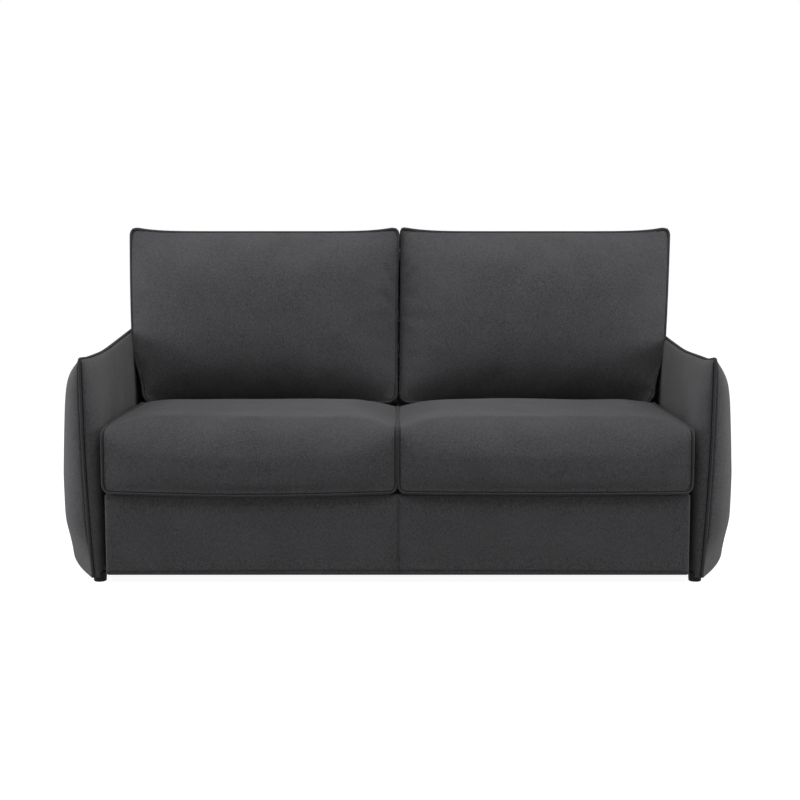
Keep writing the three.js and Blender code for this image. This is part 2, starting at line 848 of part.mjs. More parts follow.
// Steel frame of a section in its own plane: rails along s, tubes at both ends and slats between.
function sectionFrame(fromS, toS) {
  const half = sectionTube / 2;
  const place = (innerX, outerX, startS, endS, halfDepth) => (
    boxSolid(innerX, outerX, startS, endS, -halfDepth, halfDepth)
  );
  const bars = [
    place(-frameHalfWidth, sectionTube - frameHalfWidth, fromS, toS, half),
    place(frameHalfWidth - sectionTube, frameHalfWidth, fromS, toS, half),
    place(-frameHalfWidth, frameHalfWidth, fromS, fromS + sectionTube, half),
    place(-frameHalfWidth, frameHalfWidth, toS - sectionTube, toS, half),
  ];
  const clear = toS - fromS - 2 * sectionTube;
  const count = Math.max(1, Math.round(clear / slatPitch) - 1);
  for (let slat = 1; slat <= count; slat += 1) {
    const middle = fromS + sectionTube + clear * slat / (count + 1);
    const reach = frameHalfWidth - weldDepth;
    bars.push(place(-reach, reach, middle - slatWidth / 2, middle + slatWidth / 2, slatThickness / 2));
  }
  return join(...bars);
}

function mattressBlock(name, length) {
  const geometry = softSlab(
    2 * mattressHalfWidth,
    length - 2 * endTrim,
    mattressThickness,
    mattressCornerRadius,
    mattressEdgeRadius,
  );
  return piece(name, geometry, ticking);
}

// The hinge arm that carries a section from the fold pivot, level with the mattress faces.
function foldArm(side, innerX, outerX, railZ, spaced) {
  const arm = sidePlate(side, barOutline(0, 0, hingeArmReach, railZ, hingeArmRadius), innerX, outerX);
  if (!spaced) {
    return arm;
  }
  const spacer = sideBox(
    side,
    frameHalfWidth - weldDepth,
    innerX + weldDepth,
    hingeArmReach - hingeArmRadius,
    hingeArmReach - hingeArmRadius + spacerLength,
    railZ - sectionTube / 2 + spacerCover,
    railZ + hingeArmRadius - spacerCover,
  );
  const shoe = sideBox(
    side,
    innerX,
    outerX,
    hingeArmReach - hingeArmRadius,
    hingeArmReach - hingeArmRadius + spacerLength,
    railZ - hingeArmRadius,
    railZ + hingeArmRadius,
  );
  return join(arm, spacer, shoe);
}

function headSection() {
  const group = new THREE.Group();
  let frame = sectionFrame(headFrameSetback, headLength - headFrameEnd).translate([0, 0, -frameOffset]);
  for (const [, side] of sides) {
    frame = join(frame, foldArm(side, innerPlateBackX, innerPlateOuterX, -frameOffset, false));
    const bore = rodSolid(
      side,
      pinRadius + pinGap,
      frameHalfWidth - cutOverrun,
      innerPlateOuterX + cutOverrun,
      0,
      0,
    );
    frame = cut(frame, bore);
    for (const [, offset] of linkPins) {
      frame = cut(frame, rodSolid(
        side,
        pinRadius + pinGap,
        frameHalfWidth - sectionTube - cutOverrun,
        frameHalfWidth + cutOverrun,
        offset,
        -frameOffset,
      ));
    }
  }
  group.add(piece('head_frame', toGeometry(frame), steel));
  const mattress = mattressBlock('head_mattress', headLength);
  mattress.position.set(0, headLength / 2, -foldGap / 2 - mattressThickness / 2);
  group.add(mattress);
  for (const [word, side] of sides) {
    group.add(rivet(`fold_pin_${word}`, side, innerPlateBackX - seatGap, outerPlateOuterX + seatGap, 0, 0));
    for (const [end, offset] of linkPins) {
      group.add(headLinkPin(`${end}_link_head_pin_${word}`, side, offset));
    }
  }
  group.position.set(0, foldPivotY, foldPivotZ);
  return group;
}

// The pin that joins a lift link to the head frame's rail.
function headLinkPin(name, side, offset) {
  const startX = frameHalfWidth - sectionTube + weldDepth;
  const endX = linkOuterX + seatGap + pinHeadThickness;
  const shank = rodSolid(side, pinRadius, startX, endX, offset, -frameOffset);
  const collar = rodSolid(
    side,
    pinHeadRadius,
    frameHalfWidth + seatGap,
    linkInnerX - seatGap,
    offset,
    -frameOffset,
  );
  const head = rodSolid(
    side,
    pinHeadRadius,
    linkOuterX + seatGap,
    linkOuterX + seatGap + pinHeadThickness,
    offset,
    -frameOffset,
  );
  return piece(name, toGeometry(join(shank, collar, head)), zinc);
}

// Front and rear lift links, with the pins that hold them to the base.
function liftLinks() {
  const group = new THREE.Group();
  const headPinZ = headFrameBottomZ + sectionTube / 2;
  for (const [end, offset] of linkPins) {
    const baseY = basePivotY(offset);
    const headY = foldPivotY + offset;
    for (const [word, side] of sides) {
      const outline = barOutline(baseY, basePivotZ, headY, headPinZ, linkWidth / 2);
      const boreFrom = linkInnerX - cutOverrun;
      const boreTo = linkOuterX + cutOverrun;
      const bore = (y, z) => rodSolid(side, pinRadius + pinGap, boreFrom, boreTo, y, z);
      const plate = sidePlate(side, outline, linkInnerX, linkOuterX);
      const link = cut(plate, bore(baseY, basePivotZ), bore(headY, headPinZ));
      group.add(piece(`${end}_link_${word}`, toGeometry(link), steel));
      const pinName = `${end}_link_base_pin_${word}`;
      const pinEndX = baseRailInnerX + weldDepth + seatGap;
      group.add(rivet(pinName, side, linkInnerX - seatGap, pinEndX, baseY, basePivotZ));
    }
  }
  return group;
}

// The seat cushion's side view, anticlockwise seen from the right. It runs from the full shape at
// mid width, with no fall, to the lower and squarer shape of the piped side edge, with a fall of 1.
const seatTopSteps = 7;
const seatRoundSteps = 5;

function seatCushionProfile(fall) {
  const between = (middle, edge) => middle + (edge - middle) * fall;
  const frontEdge = frontY - foldPivotY + between(0, seatFrontDrawIn);
  const rearEdge = seatLength - seatCushionRear;
  const lipZ = lipBottomZ - foldPivotZ;
  const underZ = cushionBottomZ - foldPivotZ;
  const edgeZ = seatHeight - seatEdgeDrop - foldPivotZ;
  const crownZ = between(seatHeight - foldPivotZ, edgeZ);
  const frontTopZ = between(seatHeight - seatFrontDrop - foldPivotZ, edgeZ);
  const rearTopZ = between(seatHeight - seatRearDrop - foldPivotZ, edgeZ);
  const frontRadius = between(seatFrontRadius, seatSideRadius);
  const lipRear = frontY - foldPivotY + seatCushionLip;
  const points = [
    [frontEdge + seatLipRadius, lipZ],
    [lipRear, lipZ],
    [lipRear, underZ],
    [rearEdge - seatLipRadius, underZ],
    [rearEdge, underZ + seatLipRadius],
  ];
  for (let step = 0; step <= seatRoundSteps; step += 1) {
    const turn = Math.PI / 2 * step / seatRoundSteps;
    points.push([
      rearEdge - seatRearRadius * (1 - Math.cos(turn)),
      rearTopZ - seatRearRadius * (1 - Math.sin(turn)),
    ]);
  }
  const span = rearEdge - seatRearRadius - (frontEdge + frontRadius);
  for (let step = 1; step < seatTopSteps; step += 1) {
    const share = step / seatTopSteps;
    const y = rearEdge - seatRearRadius - span * share;
    const baseZ = rearTopZ + (frontTopZ - rearTopZ) * share;
    points.push([y, baseZ + (crownZ - baseZ) * Math.sin(Math.PI * share)]);
  }
  for (let step = 0; step <= seatRoundSteps; step += 1) {
    const turn = Math.PI / 2 * step / seatRoundSteps;
    points.push([
      frontEdge + frontRadius * (1 - Math.sin(turn)),
      frontTopZ - frontRadius * (1 - Math.cos(turn)),
    ]);
  }
  points.push([frontEdge, lipZ + 2 * seatLipRadius]);
  return points;
}

// Shares of the half width, from a side edge to the middle of a cushion.
const seatStationShares = [0, 0.012, 0.04, 0.09, 0.17, 0.28, 0.43, 0.65, 1];

function seatCushion(word, side) {
  const innerX = cushionCentreGap / 2;
  const halfSpan = (cushionHalfWidth - innerX) / 2;
  const middleX = (cushionHalfWidth + innerX) / 2;
  const ringAt = (fromMiddle) => {
    const fall = 1 - roundRise((halfSpan - Math.abs(fromMiddle)) / seatEdgeSpread);
    return seatCushionProfile(fall).map(([y, z]) => new THREE.Vector3(side * middleX + fromMiddle, y, z));
  };
  const near = seatStationShares.map((share) => -halfSpan * (1 - share));
  const far = near.slice(0, -1).reverse().map((x) => -x);
  const geometry = loft([...near, ...far].map(ringAt), stripCap);
  return piece(`seat_cushion_${word}`, geometry, fabric);
}

// An axle for a pair of swing legs: it passes the rail, and a collar holds the leg off the cushion.
function legAxle(name, side, s) {
  const startX = frameHalfWidth - sectionTube + weldDepth;
  const collarEndX = legInnerX - seatGap;
  const shank = rodSolid(side, axleRadius, startX, legOuterX + axleEndGap, s, 0);
  const collar = rodSolid(side, axleCollarRadius, collarEndX - axleCollarThickness, collarEndX, s, 0);
  return piece(name, toGeometry(join(shank, collar)), zinc);
}

function axleBore(side, s) {
  const fromX = frameHalfWidth - sectionTube - cutOverrun;
  return rodSolid(side, axleRadius + pinGap, fromX, frameHalfWidth + cutOverrun, s, 0);
}

// A flat swing leg that lies along its section at rest and points back towards the section's hinge.
function swingLeg(name, side) {
  const outline = barOutline(0, 0, -legLength, 0, legWidth / 2);
  const bore = rodSolid(side, axleRadius + pinGap, legInnerX - cutOverrun, legOuterX + cutOverrun, 0, 0);
  return piece(name, toGeometry(cut(sidePlate(side, outline, legInnerX, legOuterX), bore)), steel);
}

function seatSection() {
  const group = new THREE.Group();
  const framePlane = new THREE.Group();
  const boreRadius = pinRadius + pinGap;
  const boreFrom = innerPlateInnerX - cutOverrun;
  let frame = sectionFrame(seatFrameSetback, seatLength - frameEndSetback);
  for (const [, side] of sides) {
    const leaf = barOutline(seatLength - hingeLeafReach, 0, seatLength, 0, sectionTube / 2);
    const arm = foldArm(side, outerPlateInnerX, outerPlateOuterX, frameOffset, true);
    frame = join(frame, arm.translate([0, 0, -frameOffset]));
    frame = join(frame, sidePlate(side, leaf, innerPlateBackX, innerPlateOuterX));
    frame = cut(
      frame,
      rodSolid(side, boreRadius, boreFrom, outerPlateOuterX + cutOverrun, 0, -frameOffset),
      rodSolid(side, boreRadius, boreFrom, innerPlateOuterX + cutOverrun, seatLength, 0),
      axleBore(side, middleLegOffset),
    );
  }
  framePlane.add(piece('seat_frame', toGeometry(frame), steel));
  for (const [word, side] of sides) {
    framePlane.add(legAxle(`middle_leg_axle_${word}`, side, middleLegOffset));
    const leg = swingLeg(`middle_leg_${word}`, side);
    leg.position.set(0, middleLegOffset, 0);
    framePlane.add(leg);
    framePlane.add(rivet(
      `back_hinge_pin_${word}`,
      side,
      innerPlateBackX - seatGap,
      outerPlateOuterX + seatGap,
      seatLength,
      0,
    ));
  }
  framePlane.position.set(0, 0, frameOffset);
  group.add(framePlane);
  const mattress = mattressBlock('seat_mattress', seatLength);
  mattress.position.set(0, seatLength / 2, foldGap / 2 + mattressThickness / 2);
  group.add(mattress);
  for (const [word, side] of sides) {
    group.add(seatCushion(word, side));
  }
  group.position.set(0, foldPivotY, foldPivotZ);
  return group;
}

// Points of a back cushion's outline on a square from -1 to 1, anticlockwise seen from the front.
const backSideSteps = 7;
const backCornerSteps = 3;

function cushionOutline(halfSpan, halfRise) {
  const points = [];
  const corners = [[1, -1], [1, 1], [-1, 1], [-1, -1]];
  corners.forEach(([signX, signZ], corner) => {
    const centreX = signX * (halfSpan - backCushionCorner);
    const centreZ = signZ * (halfRise - backCushionCorner);
    for (let step = 0; step <= backCornerSteps; step += 1) {
      const turn = Math.PI / 2 * (corner - 1 + step / backCornerSteps);
      points.push([
        centreX + backCushionCorner * Math.cos(turn),
        centreZ + backCushionCorner * Math.sin(turn),
      ]);
    }
    const [nextX, nextZ] = corners[(corner + 1) % corners.length];
    const turn = Math.PI / 2 * corner;
    const from = points[points.length - 1];
    const to = [
      nextX * (halfSpan - backCushionCorner) + backCushionCorner * Math.cos(turn),
      nextZ * (halfRise - backCushionCorner) + backCushionCorner * Math.sin(turn),
    ];
    for (let step = 1; step < backSideSteps; step += 1) {
      const share = step / backSideSteps;
      points.push([from[0] + (to[0] - from[0]) * share, from[1] + (to[1] - from[1]) * share]);
    }
  });
  return points.map(([x, z]) => [x / halfSpan, z / halfRise]);
}

// Each ring: how far it lies in from the edge, as a share, and how far it has risen to the crown.
const backCrownShares = [0.04, 0.1, 0.2, 0.36, 0.56, 0.8];
const backCrownPower = 2.4;
const backBoxingShares = [0.2, 0.55];
const backShoulderStartShare = 0.12;
const backShoulderEndShare = 0.54;

function backCushion(word, side) {
  const innerX = cushionCentreGap / 2;
  const lowHalfX = armRearInnerX - backCushionSideGap;
  const edgeRise = backCushionEdge - backCushionTopThinning;
  const topS = (overallHeight - backPivotZ - edgeRise * Math.sin(backRecline)) / Math.cos(backRecline);
  const lowS = (seatHeight - backPivotZ) / Math.cos(backRecline) - backCushionSink;
  const halfRise = (topS - lowS) / 2;
  const middleS = (topS + lowS) / 2;
  const outline = cushionOutline((lowHalfX - innerX) / 2, halfRise);
  const rearY0 = -sectionTube / 2 - seatGap;
  const ringAt = (inset, forward, drawIn) => outline.map(([u, w]) => {
    const high = (w + 1) / 2;
    const shoulder = THREE.MathUtils.smoothstep(high, backShoulderStartShare, backShoulderEndShare);
    const outerX = lowHalfX + backCushionShoulderSpread * shoulder + backCushionTopSpread * high;
    const pull = drawIn * (1 - w * w);
    const across = innerX + pull + (outerX - innerX - 2 * pull) * (1 + u * (1 - inset)) / 2;
    const topSag = backCushionTopSag * (1 - u * u) * Math.max(0, w) ** 2;
    const sag = topSag + drawIn * (1 - u * u) * Math.max(0, -w);
    const s = middleS + halfRise * w * (1 - inset) - sag * (w > 0 ? 1 : -1) * (1 - inset);
    const edge = backCushionEdge - backCushionTopThinning * high;
    return new THREE.Vector3(side * across, rearY0 - forward(edge), s);
  });
  const crowned = (share) => {
    const rise = (1 - (1 - share) ** backCrownPower) ** (1 / backCrownPower);
    return (edge) => edge + (backCushionCrown) * rise;
  };
  const rearInset = backCushionRearInset / halfRise;
  const rings = [
    ringAt(rearInset, () => 0, 0),
    ...backBoxingShares.map((share) => ringAt(0, (edge) => edge * share, backCushionDrawIn * share)),
    ringAt(0, (edge) => edge - backCushionFrontRadius / 2, backCushionDrawIn / 2),
    ringAt(0, (edge) => edge, backCushionDrawIn / 2),
    ...backCrownShares.map((share) => ringAt(share, crowned(share), backCushionDrawIn / 2)),
  ];
  const ordered = side > 0 ? rings : rings.map((ring) => [...ring].reverse());
  return piece(`back_cushion_${word}`, loft(ordered, fanCap), fabric);
}

function pullTab() {
  const radius = pullTabThickness / 4;
  const geometry = softSlab(pullTabWidth, pullTabLength, pullTabThickness, pullTabThickness, radius);
  geometry.rotateX(Math.PI / 2);
  const tab = piece('pull_tab', geometry, webbing);
  tab.position.set(0, 0, footLength - footFrameEnd + seatGap + pullTabLength / 2);
  return tab;
}

function backSection() {
  const group = new THREE.Group();
  let frame = sectionFrame(frameEndSetback, footLength - footFrameEnd);
  for (const [, side] of sides) {
    const leaf = barOutline(0, 0, hingeLeafReach, 0, sectionTube / 2);
    const spacer = sideBox(
      side,
      frameHalfWidth - weldDepth,
      outerPlateInnerX + weldDepth,
      hingeLeafReach - spacerLength,
      hingeLeafReach,
      spacerCover - sectionTube / 2,
      sectionTube / 2 - spacerCover,
    );
    frame = join(frame, spacer, sidePlate(side, leaf, outerPlateInnerX, outerPlateOuterX));
    frame = cut(
      frame,
      rodSolid(side, pinRadius + pinGap, outerPlateInnerX - cutOverrun, outerPlateOuterX + cutOverrun, 0, 0),
      axleBore(side, footLegOffset),
    );
  }
  // The frame is drawn lying down, so its group stands it up: along the section becomes up.
  const framePlane = new THREE.Group();
  framePlane.add(piece('back_frame', toGeometry(frame), steel));
  for (const [word, side] of sides) {
    framePlane.add(legAxle(`foot_leg_axle_${word}`, side, footLegOffset));
    const leg = swingLeg(`foot_leg_${word}`, side);
    leg.position.set(0, footLegOffset, 0);
    framePlane.add(leg);
  }
  const mattress = mattressBlock('foot_mattress', footLength);
  mattress.position.set(0, footLength / 2, -sectionHalfDepth + mattressThickness / 2);
  framePlane.add(mattress);
  framePlane.rotation.x = Math.PI / 2;
  group.add(framePlane);
  for (const [word, side] of sides) {
    group.add(backCushion(word, side));
  }
  group.add(pullTab());
  group.position.set(0, backPivotY, backPivotZ);
  group.rotation.x = -backRecline;
  return group;
}

const sofa = new THREE.Group();
sofa.add(arms());
sofa.add(feet());
sofa.add(...frontPanel());
sofa.add(...backPanel());
sofa.add(...backWings());
sofa.add(base());
sofa.add(liftLinks());
sofa.add(headSection());
sofa.add(seatSection());
sofa.add(backSection());

export default sofa;
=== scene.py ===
import json
import math

import bpy
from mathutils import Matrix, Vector, noise


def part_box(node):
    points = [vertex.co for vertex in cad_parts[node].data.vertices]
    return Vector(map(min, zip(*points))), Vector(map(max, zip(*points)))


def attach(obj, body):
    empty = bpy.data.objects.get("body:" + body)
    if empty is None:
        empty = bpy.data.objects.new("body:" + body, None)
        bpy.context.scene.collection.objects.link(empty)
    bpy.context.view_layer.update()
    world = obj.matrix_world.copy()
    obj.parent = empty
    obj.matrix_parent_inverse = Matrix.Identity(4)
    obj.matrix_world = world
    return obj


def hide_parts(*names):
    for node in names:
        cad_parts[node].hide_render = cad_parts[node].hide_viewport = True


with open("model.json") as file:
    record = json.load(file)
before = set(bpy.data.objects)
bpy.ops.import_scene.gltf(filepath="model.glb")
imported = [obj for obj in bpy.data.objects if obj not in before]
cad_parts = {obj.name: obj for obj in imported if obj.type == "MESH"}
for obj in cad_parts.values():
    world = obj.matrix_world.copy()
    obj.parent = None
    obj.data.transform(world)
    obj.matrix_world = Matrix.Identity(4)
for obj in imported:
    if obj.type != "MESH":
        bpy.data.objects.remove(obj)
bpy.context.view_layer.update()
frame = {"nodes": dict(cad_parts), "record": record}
SIDES = (("left", -1), ("right", 1))
QUARTER = math.pi / 2
TINY = 1e-9

# Camera, a little lower than the top of the back and tilted down.
CAMERA_X = 0.0066
CAMERA_Y = -4.126
CAMERA_Z = 0.8704
CAMERA_TILT = math.radians(5.9505)
FOCAL = 62.901
SENSOR = 36


def add_camera():
    data = bpy.data.cameras.new("camera")
    data.lens = FOCAL
    data.sensor_width = SENSOR
    camera = bpy.data.objects.new("camera", data)
    camera.location = (CAMERA_X, CAMERA_Y, CAMERA_Z)
    camera.rotation_euler = (QUARTER - CAMERA_TILT, 0, 0)
    bpy.context.collection.objects.link(camera)
    bpy.context.scene.camera = camera


# Materials

# Stretches that turn even noise into threads across and along.
THREADS_ACROSS = (0.3, 1.0, 1.0)
THREADS_ALONG = (1.0, 1.0, 0.2)
THREAD_SCALE = 640
BOARD_GRAIN = (1.0, 1.0, 14.0)


class Nodes:
    """Short calls for building a material's node tree."""

    def __init__(self, name):
        self.material = bpy.data.materials.new(name)
        self.material.use_nodes = True
        self.tree = self.material.node_tree
        self.shader = self.tree.nodes["Principled BSDF"]
        coords = self.tree.nodes.new("ShaderNodeTexCoord")
        self.point = coords.outputs["Object"]

    def add(self, kind, inputs=None, **settings):
        node = self.tree.nodes.new(kind)
        for key, value in settings.items():
            setattr(node, key, value)
        for key, value in (inputs or {}).items():
            self.fill(node.inputs[key], value)
        return node

    def fill(self, socket, value):
        if isinstance(value, bpy.types.NodeSocket):
            self.tree.links.new(value, socket)
        else:
            socket.default_value = value

    def noise(self, scale, detail=2.0, rough=0.5, point=None):
        node = self.add(
            "ShaderNodeTexNoise",
            {"Vector": point or self.point, "Scale": scale, "Detail": detail, "Roughness": rough},
        )
        return node.outputs["Fac"]

    def stretched(self, factors):
        node = self.add("ShaderNodeVectorMath", {0: self.point, 1: factors}, operation="MULTIPLY")
        return node.outputs[0]

    def math(self, operation, a, b=0.5):
        return self.add("ShaderNodeMath", {0: a, 1: b}, operation=operation).outputs[0]

    def ramp(self, fac, stops):
        node = self.add("ShaderNodeValToRGB", {"Fac": fac})
        elements = node.color_ramp.elements
        for element, (position, color) in zip(elements, stops):
            element.position = position
            element.color = (*color, 1)
        return node.outputs["Color"]

    def bump(self, height, strength, distance, normal=None):
        inputs = {"Height": height, "Strength": strength, "Distance": distance}
        if normal:
            inputs["Normal"] = normal
        return self.add("ShaderNodeBump", inputs).outputs["Normal"]

    def set(self, **values):
        for key, value in values.items():
            self.fill(self.shader.inputs[key.replace("_", " ")], value)
        return self.material


def grey(value, cool=0.0):
    return (value, value, value * (1 + cool))


def weave_height(m, pitch):
    """Threads over and under along each pair of axes, blended by which way the surface faces."""
    split = m.add("ShaderNodeSeparateXYZ", {"Vector": m.point})
    geometry = m.add("ShaderNodeNewGeometry")
    normal = m.add("ShaderNodeSeparateXYZ", {"Vector": geometry.outputs["Normal"]})
    turn = 2 * math.pi / pitch
    waves = [m.math("SINE", m.math("MULTIPLY", split.outputs[k], turn)) for k in range(3)]
    planes = ((0, 1, 2), (1, 2, 0), (0, 2, 1))
    total = None
    for a, b, facing in planes:
        share = m.math("POWER", m.math("ABSOLUTE", normal.outputs[facing]), 2.0)
        part = m.math("MULTIPLY", m.math("MULTIPLY", waves[a], waves[b]), share)
        total = part if total is None else m.math("ADD", total, part)
    return total


def cloth_material(name, dark, light, pitch, sheen, fleck=0.35):
    m = Nodes(name)
    weave = weave_height(m, pitch)
    across = m.noise(THREAD_SCALE, 2.0, 0.6, m.stretched(THREADS_ACROSS))
    along = m.noise(THREAD_SCALE, 2.0, 0.6, m.stretched(THREADS_ALONG))
    grain = m.math("MULTIPLY", m.math("ADD", across, along), 0.5)
    cloudy = m.math("MULTIPLY", m.noise(9, 3.0, 0.55), fleck)
    mixed = m.math("ADD", grain, m.math("MULTIPLY", weave, 0.08))
    mixed = m.math("ADD", mixed, cloudy)
    low = 0.36 + 0.35 * fleck
    color = m.ramp(mixed, [(low, dark), (low + 0.28, light)])
    fine = m.bump(weave, 0.35, 0.0006)
    rough = m.bump(grain, 0.30, 0.0008, fine)
    slack = m.bump(m.noise(14, 2.0, 0.5), 0.25, 0.010, rough)
    return m.set(
        Base_Color=color,
        Roughness=0.92,
        Sheen_Weight=sheen,
        Sheen_Roughness=0.45,
        Specular_IOR_Level=0.25,
        Normal=slack,
    )


def steel_material():
    m = Nodes("powder_coat")
    speckle = m.noise(900, 2.0, 0.6)
    wear = m.noise(35, 4.0, 0.6)
    color = m.ramp(wear, [(0.35, grey(0.020, 0.05)), (0.75, grey(0.036, 0.05))])
    rough = m.math("ADD", m.math("MULTIPLY", wear, 0.25), 0.32)
    return m.set(Base_Color=color, Roughness=rough, Metallic=0.0, Normal=m.bump(speckle, 0.25, 0.0003))


def zinc_material():
    m = Nodes("zinc_plate")
    streak = m.noise(120, 3.0, 0.6)
    color = m.ramp(streak, [(0.3, grey(0.42, 0.04)), (0.7, grey(0.58, 0.02))])
    rough = m.math("ADD", m.math("MULTIPLY", streak, 0.2), 0.25)
    return m.set(Base_Color=color, Roughness=rough, Metallic=0.9)


def board_material():
    m = Nodes("frame_board")
    grain = m.noise(9, 6.0, 0.6, m.stretched(BOARD_GRAIN))
    color = m.ramp(grain, [(0.3, (0.33, 0.20, 0.10)), (0.7, (0.55, 0.38, 0.22))])
    return m.set(Base_Color=color, Roughness=0.75, Normal=m.bump(grain, 0.2, 0.0005))


def plastic_material():
    m = Nodes("foot_plastic")
    grain = m.noise(700, 2.0, 0.5)
    color = m.ramp(grain, [(0.3, grey(0.003)), (0.7, grey(0.006))])
    matt = m.bump(grain, 0.15, 0.0002)
    return m.set(Base_Color=color, Roughness=0.55, Specular_IOR_Level=0.12, Normal=matt)


FABRIC = cloth_material("charcoal_weave", grey(0.024, 0.05), grey(0.082, 0.06), 0.0030, 0.09, 0.12)
PIPING = cloth_material("charcoal_piping", grey(0.018, 0.05), grey(0.042, 0.06), 0.0022, 0.1, 0.1)
# Near-black material for the thin tube beside each piping cord: painted shade in the groove, not a thread
# colour.
GROOVE_SHADE = cloth_material("groove_painted_shade", grey(0.0012), grey(0.0030), 0.0012, 0.0, 0.0)
TICKING = cloth_material(
    "mattress_ticking", (0.56, 0.55, 0.52), (0.74, 0.73, 0.70), 0.0024, 0.15, 0.2
)
TICKING_TRIM = cloth_material("ticking_trim", (0.30, 0.30, 0.31), (0.42, 0.42, 0.43), 0.0018, 0.1)
WEBBING = cloth_material("webbing", grey(0.010), grey(0.022), 0.0016, 0.1)

SLOT_MATERIAL = {
    "painted_steel": steel_material(),
    "zinc_pin": zinc_material(),
    "frame_board": board_material(),
    "foot_plastic": plastic_material(),
    "upholstery": FABRIC,
    "mattress_cover": TICKING,
    "webbing": WEBBING,
}


def dress_nodes():
    slots = {s["node"]: s["material_slot"] for s in frame["record"]["subparts"]}
    for name, node in frame["nodes"].items():
        material = SLOT_MATERIAL[slots[name]]
        for place in node.material_slots:
            place.material = material
        if not node.material_slots:
            node.data.materials.append(material)


# Shares and curves

def clamp(value, low=0.0, high=1.0):
    return min(max(value, low), high)


def mix(a, b, share):
    return a + (b - a) * share


def smooth_step(value, low, high):
    t = clamp((value - low) / (high - low))
    return t * t * (3 - 2 * t)


def round_rise(share):
    """A quarter circle, from 0 at 0 to 1 at 1."""
    rest = 1 - clamp(share)
    return math.sqrt(max(0.0, 1 - rest * rest))


def wander(point, scale, seed):
    return noise.noise(Vector(point) * scale + Vector((seed, 2.7 * seed, 0.0)))


def thin(path, gap):
    """Leave out points that lie closer than the gap to the one kept before."""
    kept = [path[0]]
    for p in path[1:]:
        if (p - kept[-1]).length >= gap:
            kept.append(p)
    return kept


# Mesh building

# How far each ring of an end cap shrinks towards its middle.
CLOSING_SHARES = (0.06, 0.2, 0.45, 0.8)
CORNER_STEPS = 6
EDGE_STEPS = 4
CORNERS = ((1, -1), (1, 1), (-1, 1), (-1, -1))


def enclosed(points, faces):
    """Six times the volume inside a closed skin, negative where its faces look inwards."""
    total = 0.0
    for face in faces:
        first = points[face[0]]
        for b, c in zip(face[1:], face[2:]):
            total += first.dot(points[b].cross(points[c]))
    return total


def mesh_object(name, points, faces, material):
    points = [Vector(p) for p in points]
    if enclosed(points, faces) < 0:
        faces = [tuple(face)[::-1] for face in faces]
    mesh = bpy.data.meshes.new(name)
    mesh.from_pydata([tuple(p) for p in points], [], faces)
    mesh.materials.append(material)
    mesh.polygons.foreach_set("use_smooth", [True] * len(mesh.polygons))
    mesh.update()
    obj = bpy.data.objects.new(name, mesh)
    bpy.context.collection.objects.link(obj)
    return obj


def ring_faces(rings, count):
    faces = []
    for ring in range(rings - 1):
        for k in range(count):
            a = ring * count + k
            b = ring * count + (k + 1) % count
            faces.append((a, b, b + count, a + count))
    return faces


def closing(ring):
    middle = sum(ring, Vector()) / len(ring)
    return [[p.lerp(middle, s) for p in ring] for s in CLOSING_SHARES]


def end_faces(total, count):
    """The two flat ends of a skin whose first and last points are its end rings."""
    return [tuple(range(count))[::-1], tuple(range(total - count, total))]


def loft(name, rings, material):
    """Closed skin over rings of equal count. Each end closes on shrinking copies of its ring."""
    count = len(rings[0])
    rings = closing(rings[0])[::-1] + rings + closing(rings[-1])
    points = [p for ring in rings for p in ring]
    faces = ring_faces(len(rings), count) + end_faces(len(points), count)
    return mesh_object(name, points, faces, material)


def neighbours(path, i, closed):
    """The points before and after a point, which an open path's ends stand in for."""
    count = len(path)
    before = path[i - 1] if closed or i else path[0]
    after = path[(i + 1) % count] if closed or i + 1 < count else path[-1]
    return before, after


def tube(name, path, radius, material, closed=False, sides=10):
    """Round cord along a path, turned as little as possible on its way."""
    count = len(path)
    tangents = []
    for i in range(count):
        before, after = neighbours(path, i, closed)
        tangents.append((after - before).normalized())
    normal = tangents[0].orthogonal().normalized()
    points = []
    for i in range(count):
        normal = (normal - tangents[i] * normal.dot(tangents[i])).normalized()
        side = tangents[i].cross(normal)
        for k in range(sides):
            angle = 2 * math.pi * k / sides
            points.append(path[i] + (normal * math.cos(angle) + side * math.sin(angle)) * radius)
    faces = ring_faces(count, sides)
    if closed:
        last = (count - 1) * sides
        shift = closest_turn(points[last:], points[:sides])
        for k in range(sides):
            a = last + k
            b = last + (k + 1) % sides
            faces.append((a, b, (k + 1 + shift) % sides, (k + shift) % sides))
    else:
        faces += end_faces(len(points), sides)
    return mesh_object(name, points, faces, material)


def closest_turn(ring, first):
    """How many points to turn a ring by, so that it meets the first one without a twist."""
    sides = len(ring)

    def distance(turn):
        return sum((ring[k] - first[(k + turn) % sides]).length for k in range(sides))

    return min(range(sides), key=distance)


def rounded_outline(half_across, half_up, radius, across, up):
    """Points round a rectangle with round corners, whose straight sides take across or up steps."""
    reach_across, reach_up = half_across - radius, half_up - radius

    def corner_point(index, turn):
        sign_across, sign_up = CORNERS[index % len(CORNERS)]
        x = sign_across * reach_across + radius * math.cos(math.pi * turn)
        y = sign_up * reach_up + radius * math.sin(math.pi * turn)
        return Vector((x, y))

    ring = []
    for index in range(len(CORNERS)):
        start = index / 2 - 0.5
        ring += [corner_point(index, start + 0.5 * i / CORNER_STEPS) for i in range(CORNER_STEPS + 1)]
        last, to = ring[-1].copy(), corner_point(index + 1, start + 0.5)
        steps = across if abs(to.x - last.x) > abs(to.y - last.y) else up
        ring += [last.lerp(to, i / steps) for i in range(1, steps)]
    return ring


def quarter_turn():
    """Inset and depth of a rounded edge as shares of its radius, from its start to its full width."""
    angles = [QUARTER * i / EDGE_STEPS for i in range(EDGE_STEPS + 1)]
    return [(1 - math.sin(a), 1 - math.cos(a)) for a in angles]


# Piping

GROOVE_GAP = 0.0006
GROOVE_RISE = 0.0004
GROOVE_RADIUS = 0.0017
GROOVE_SIDES = 6


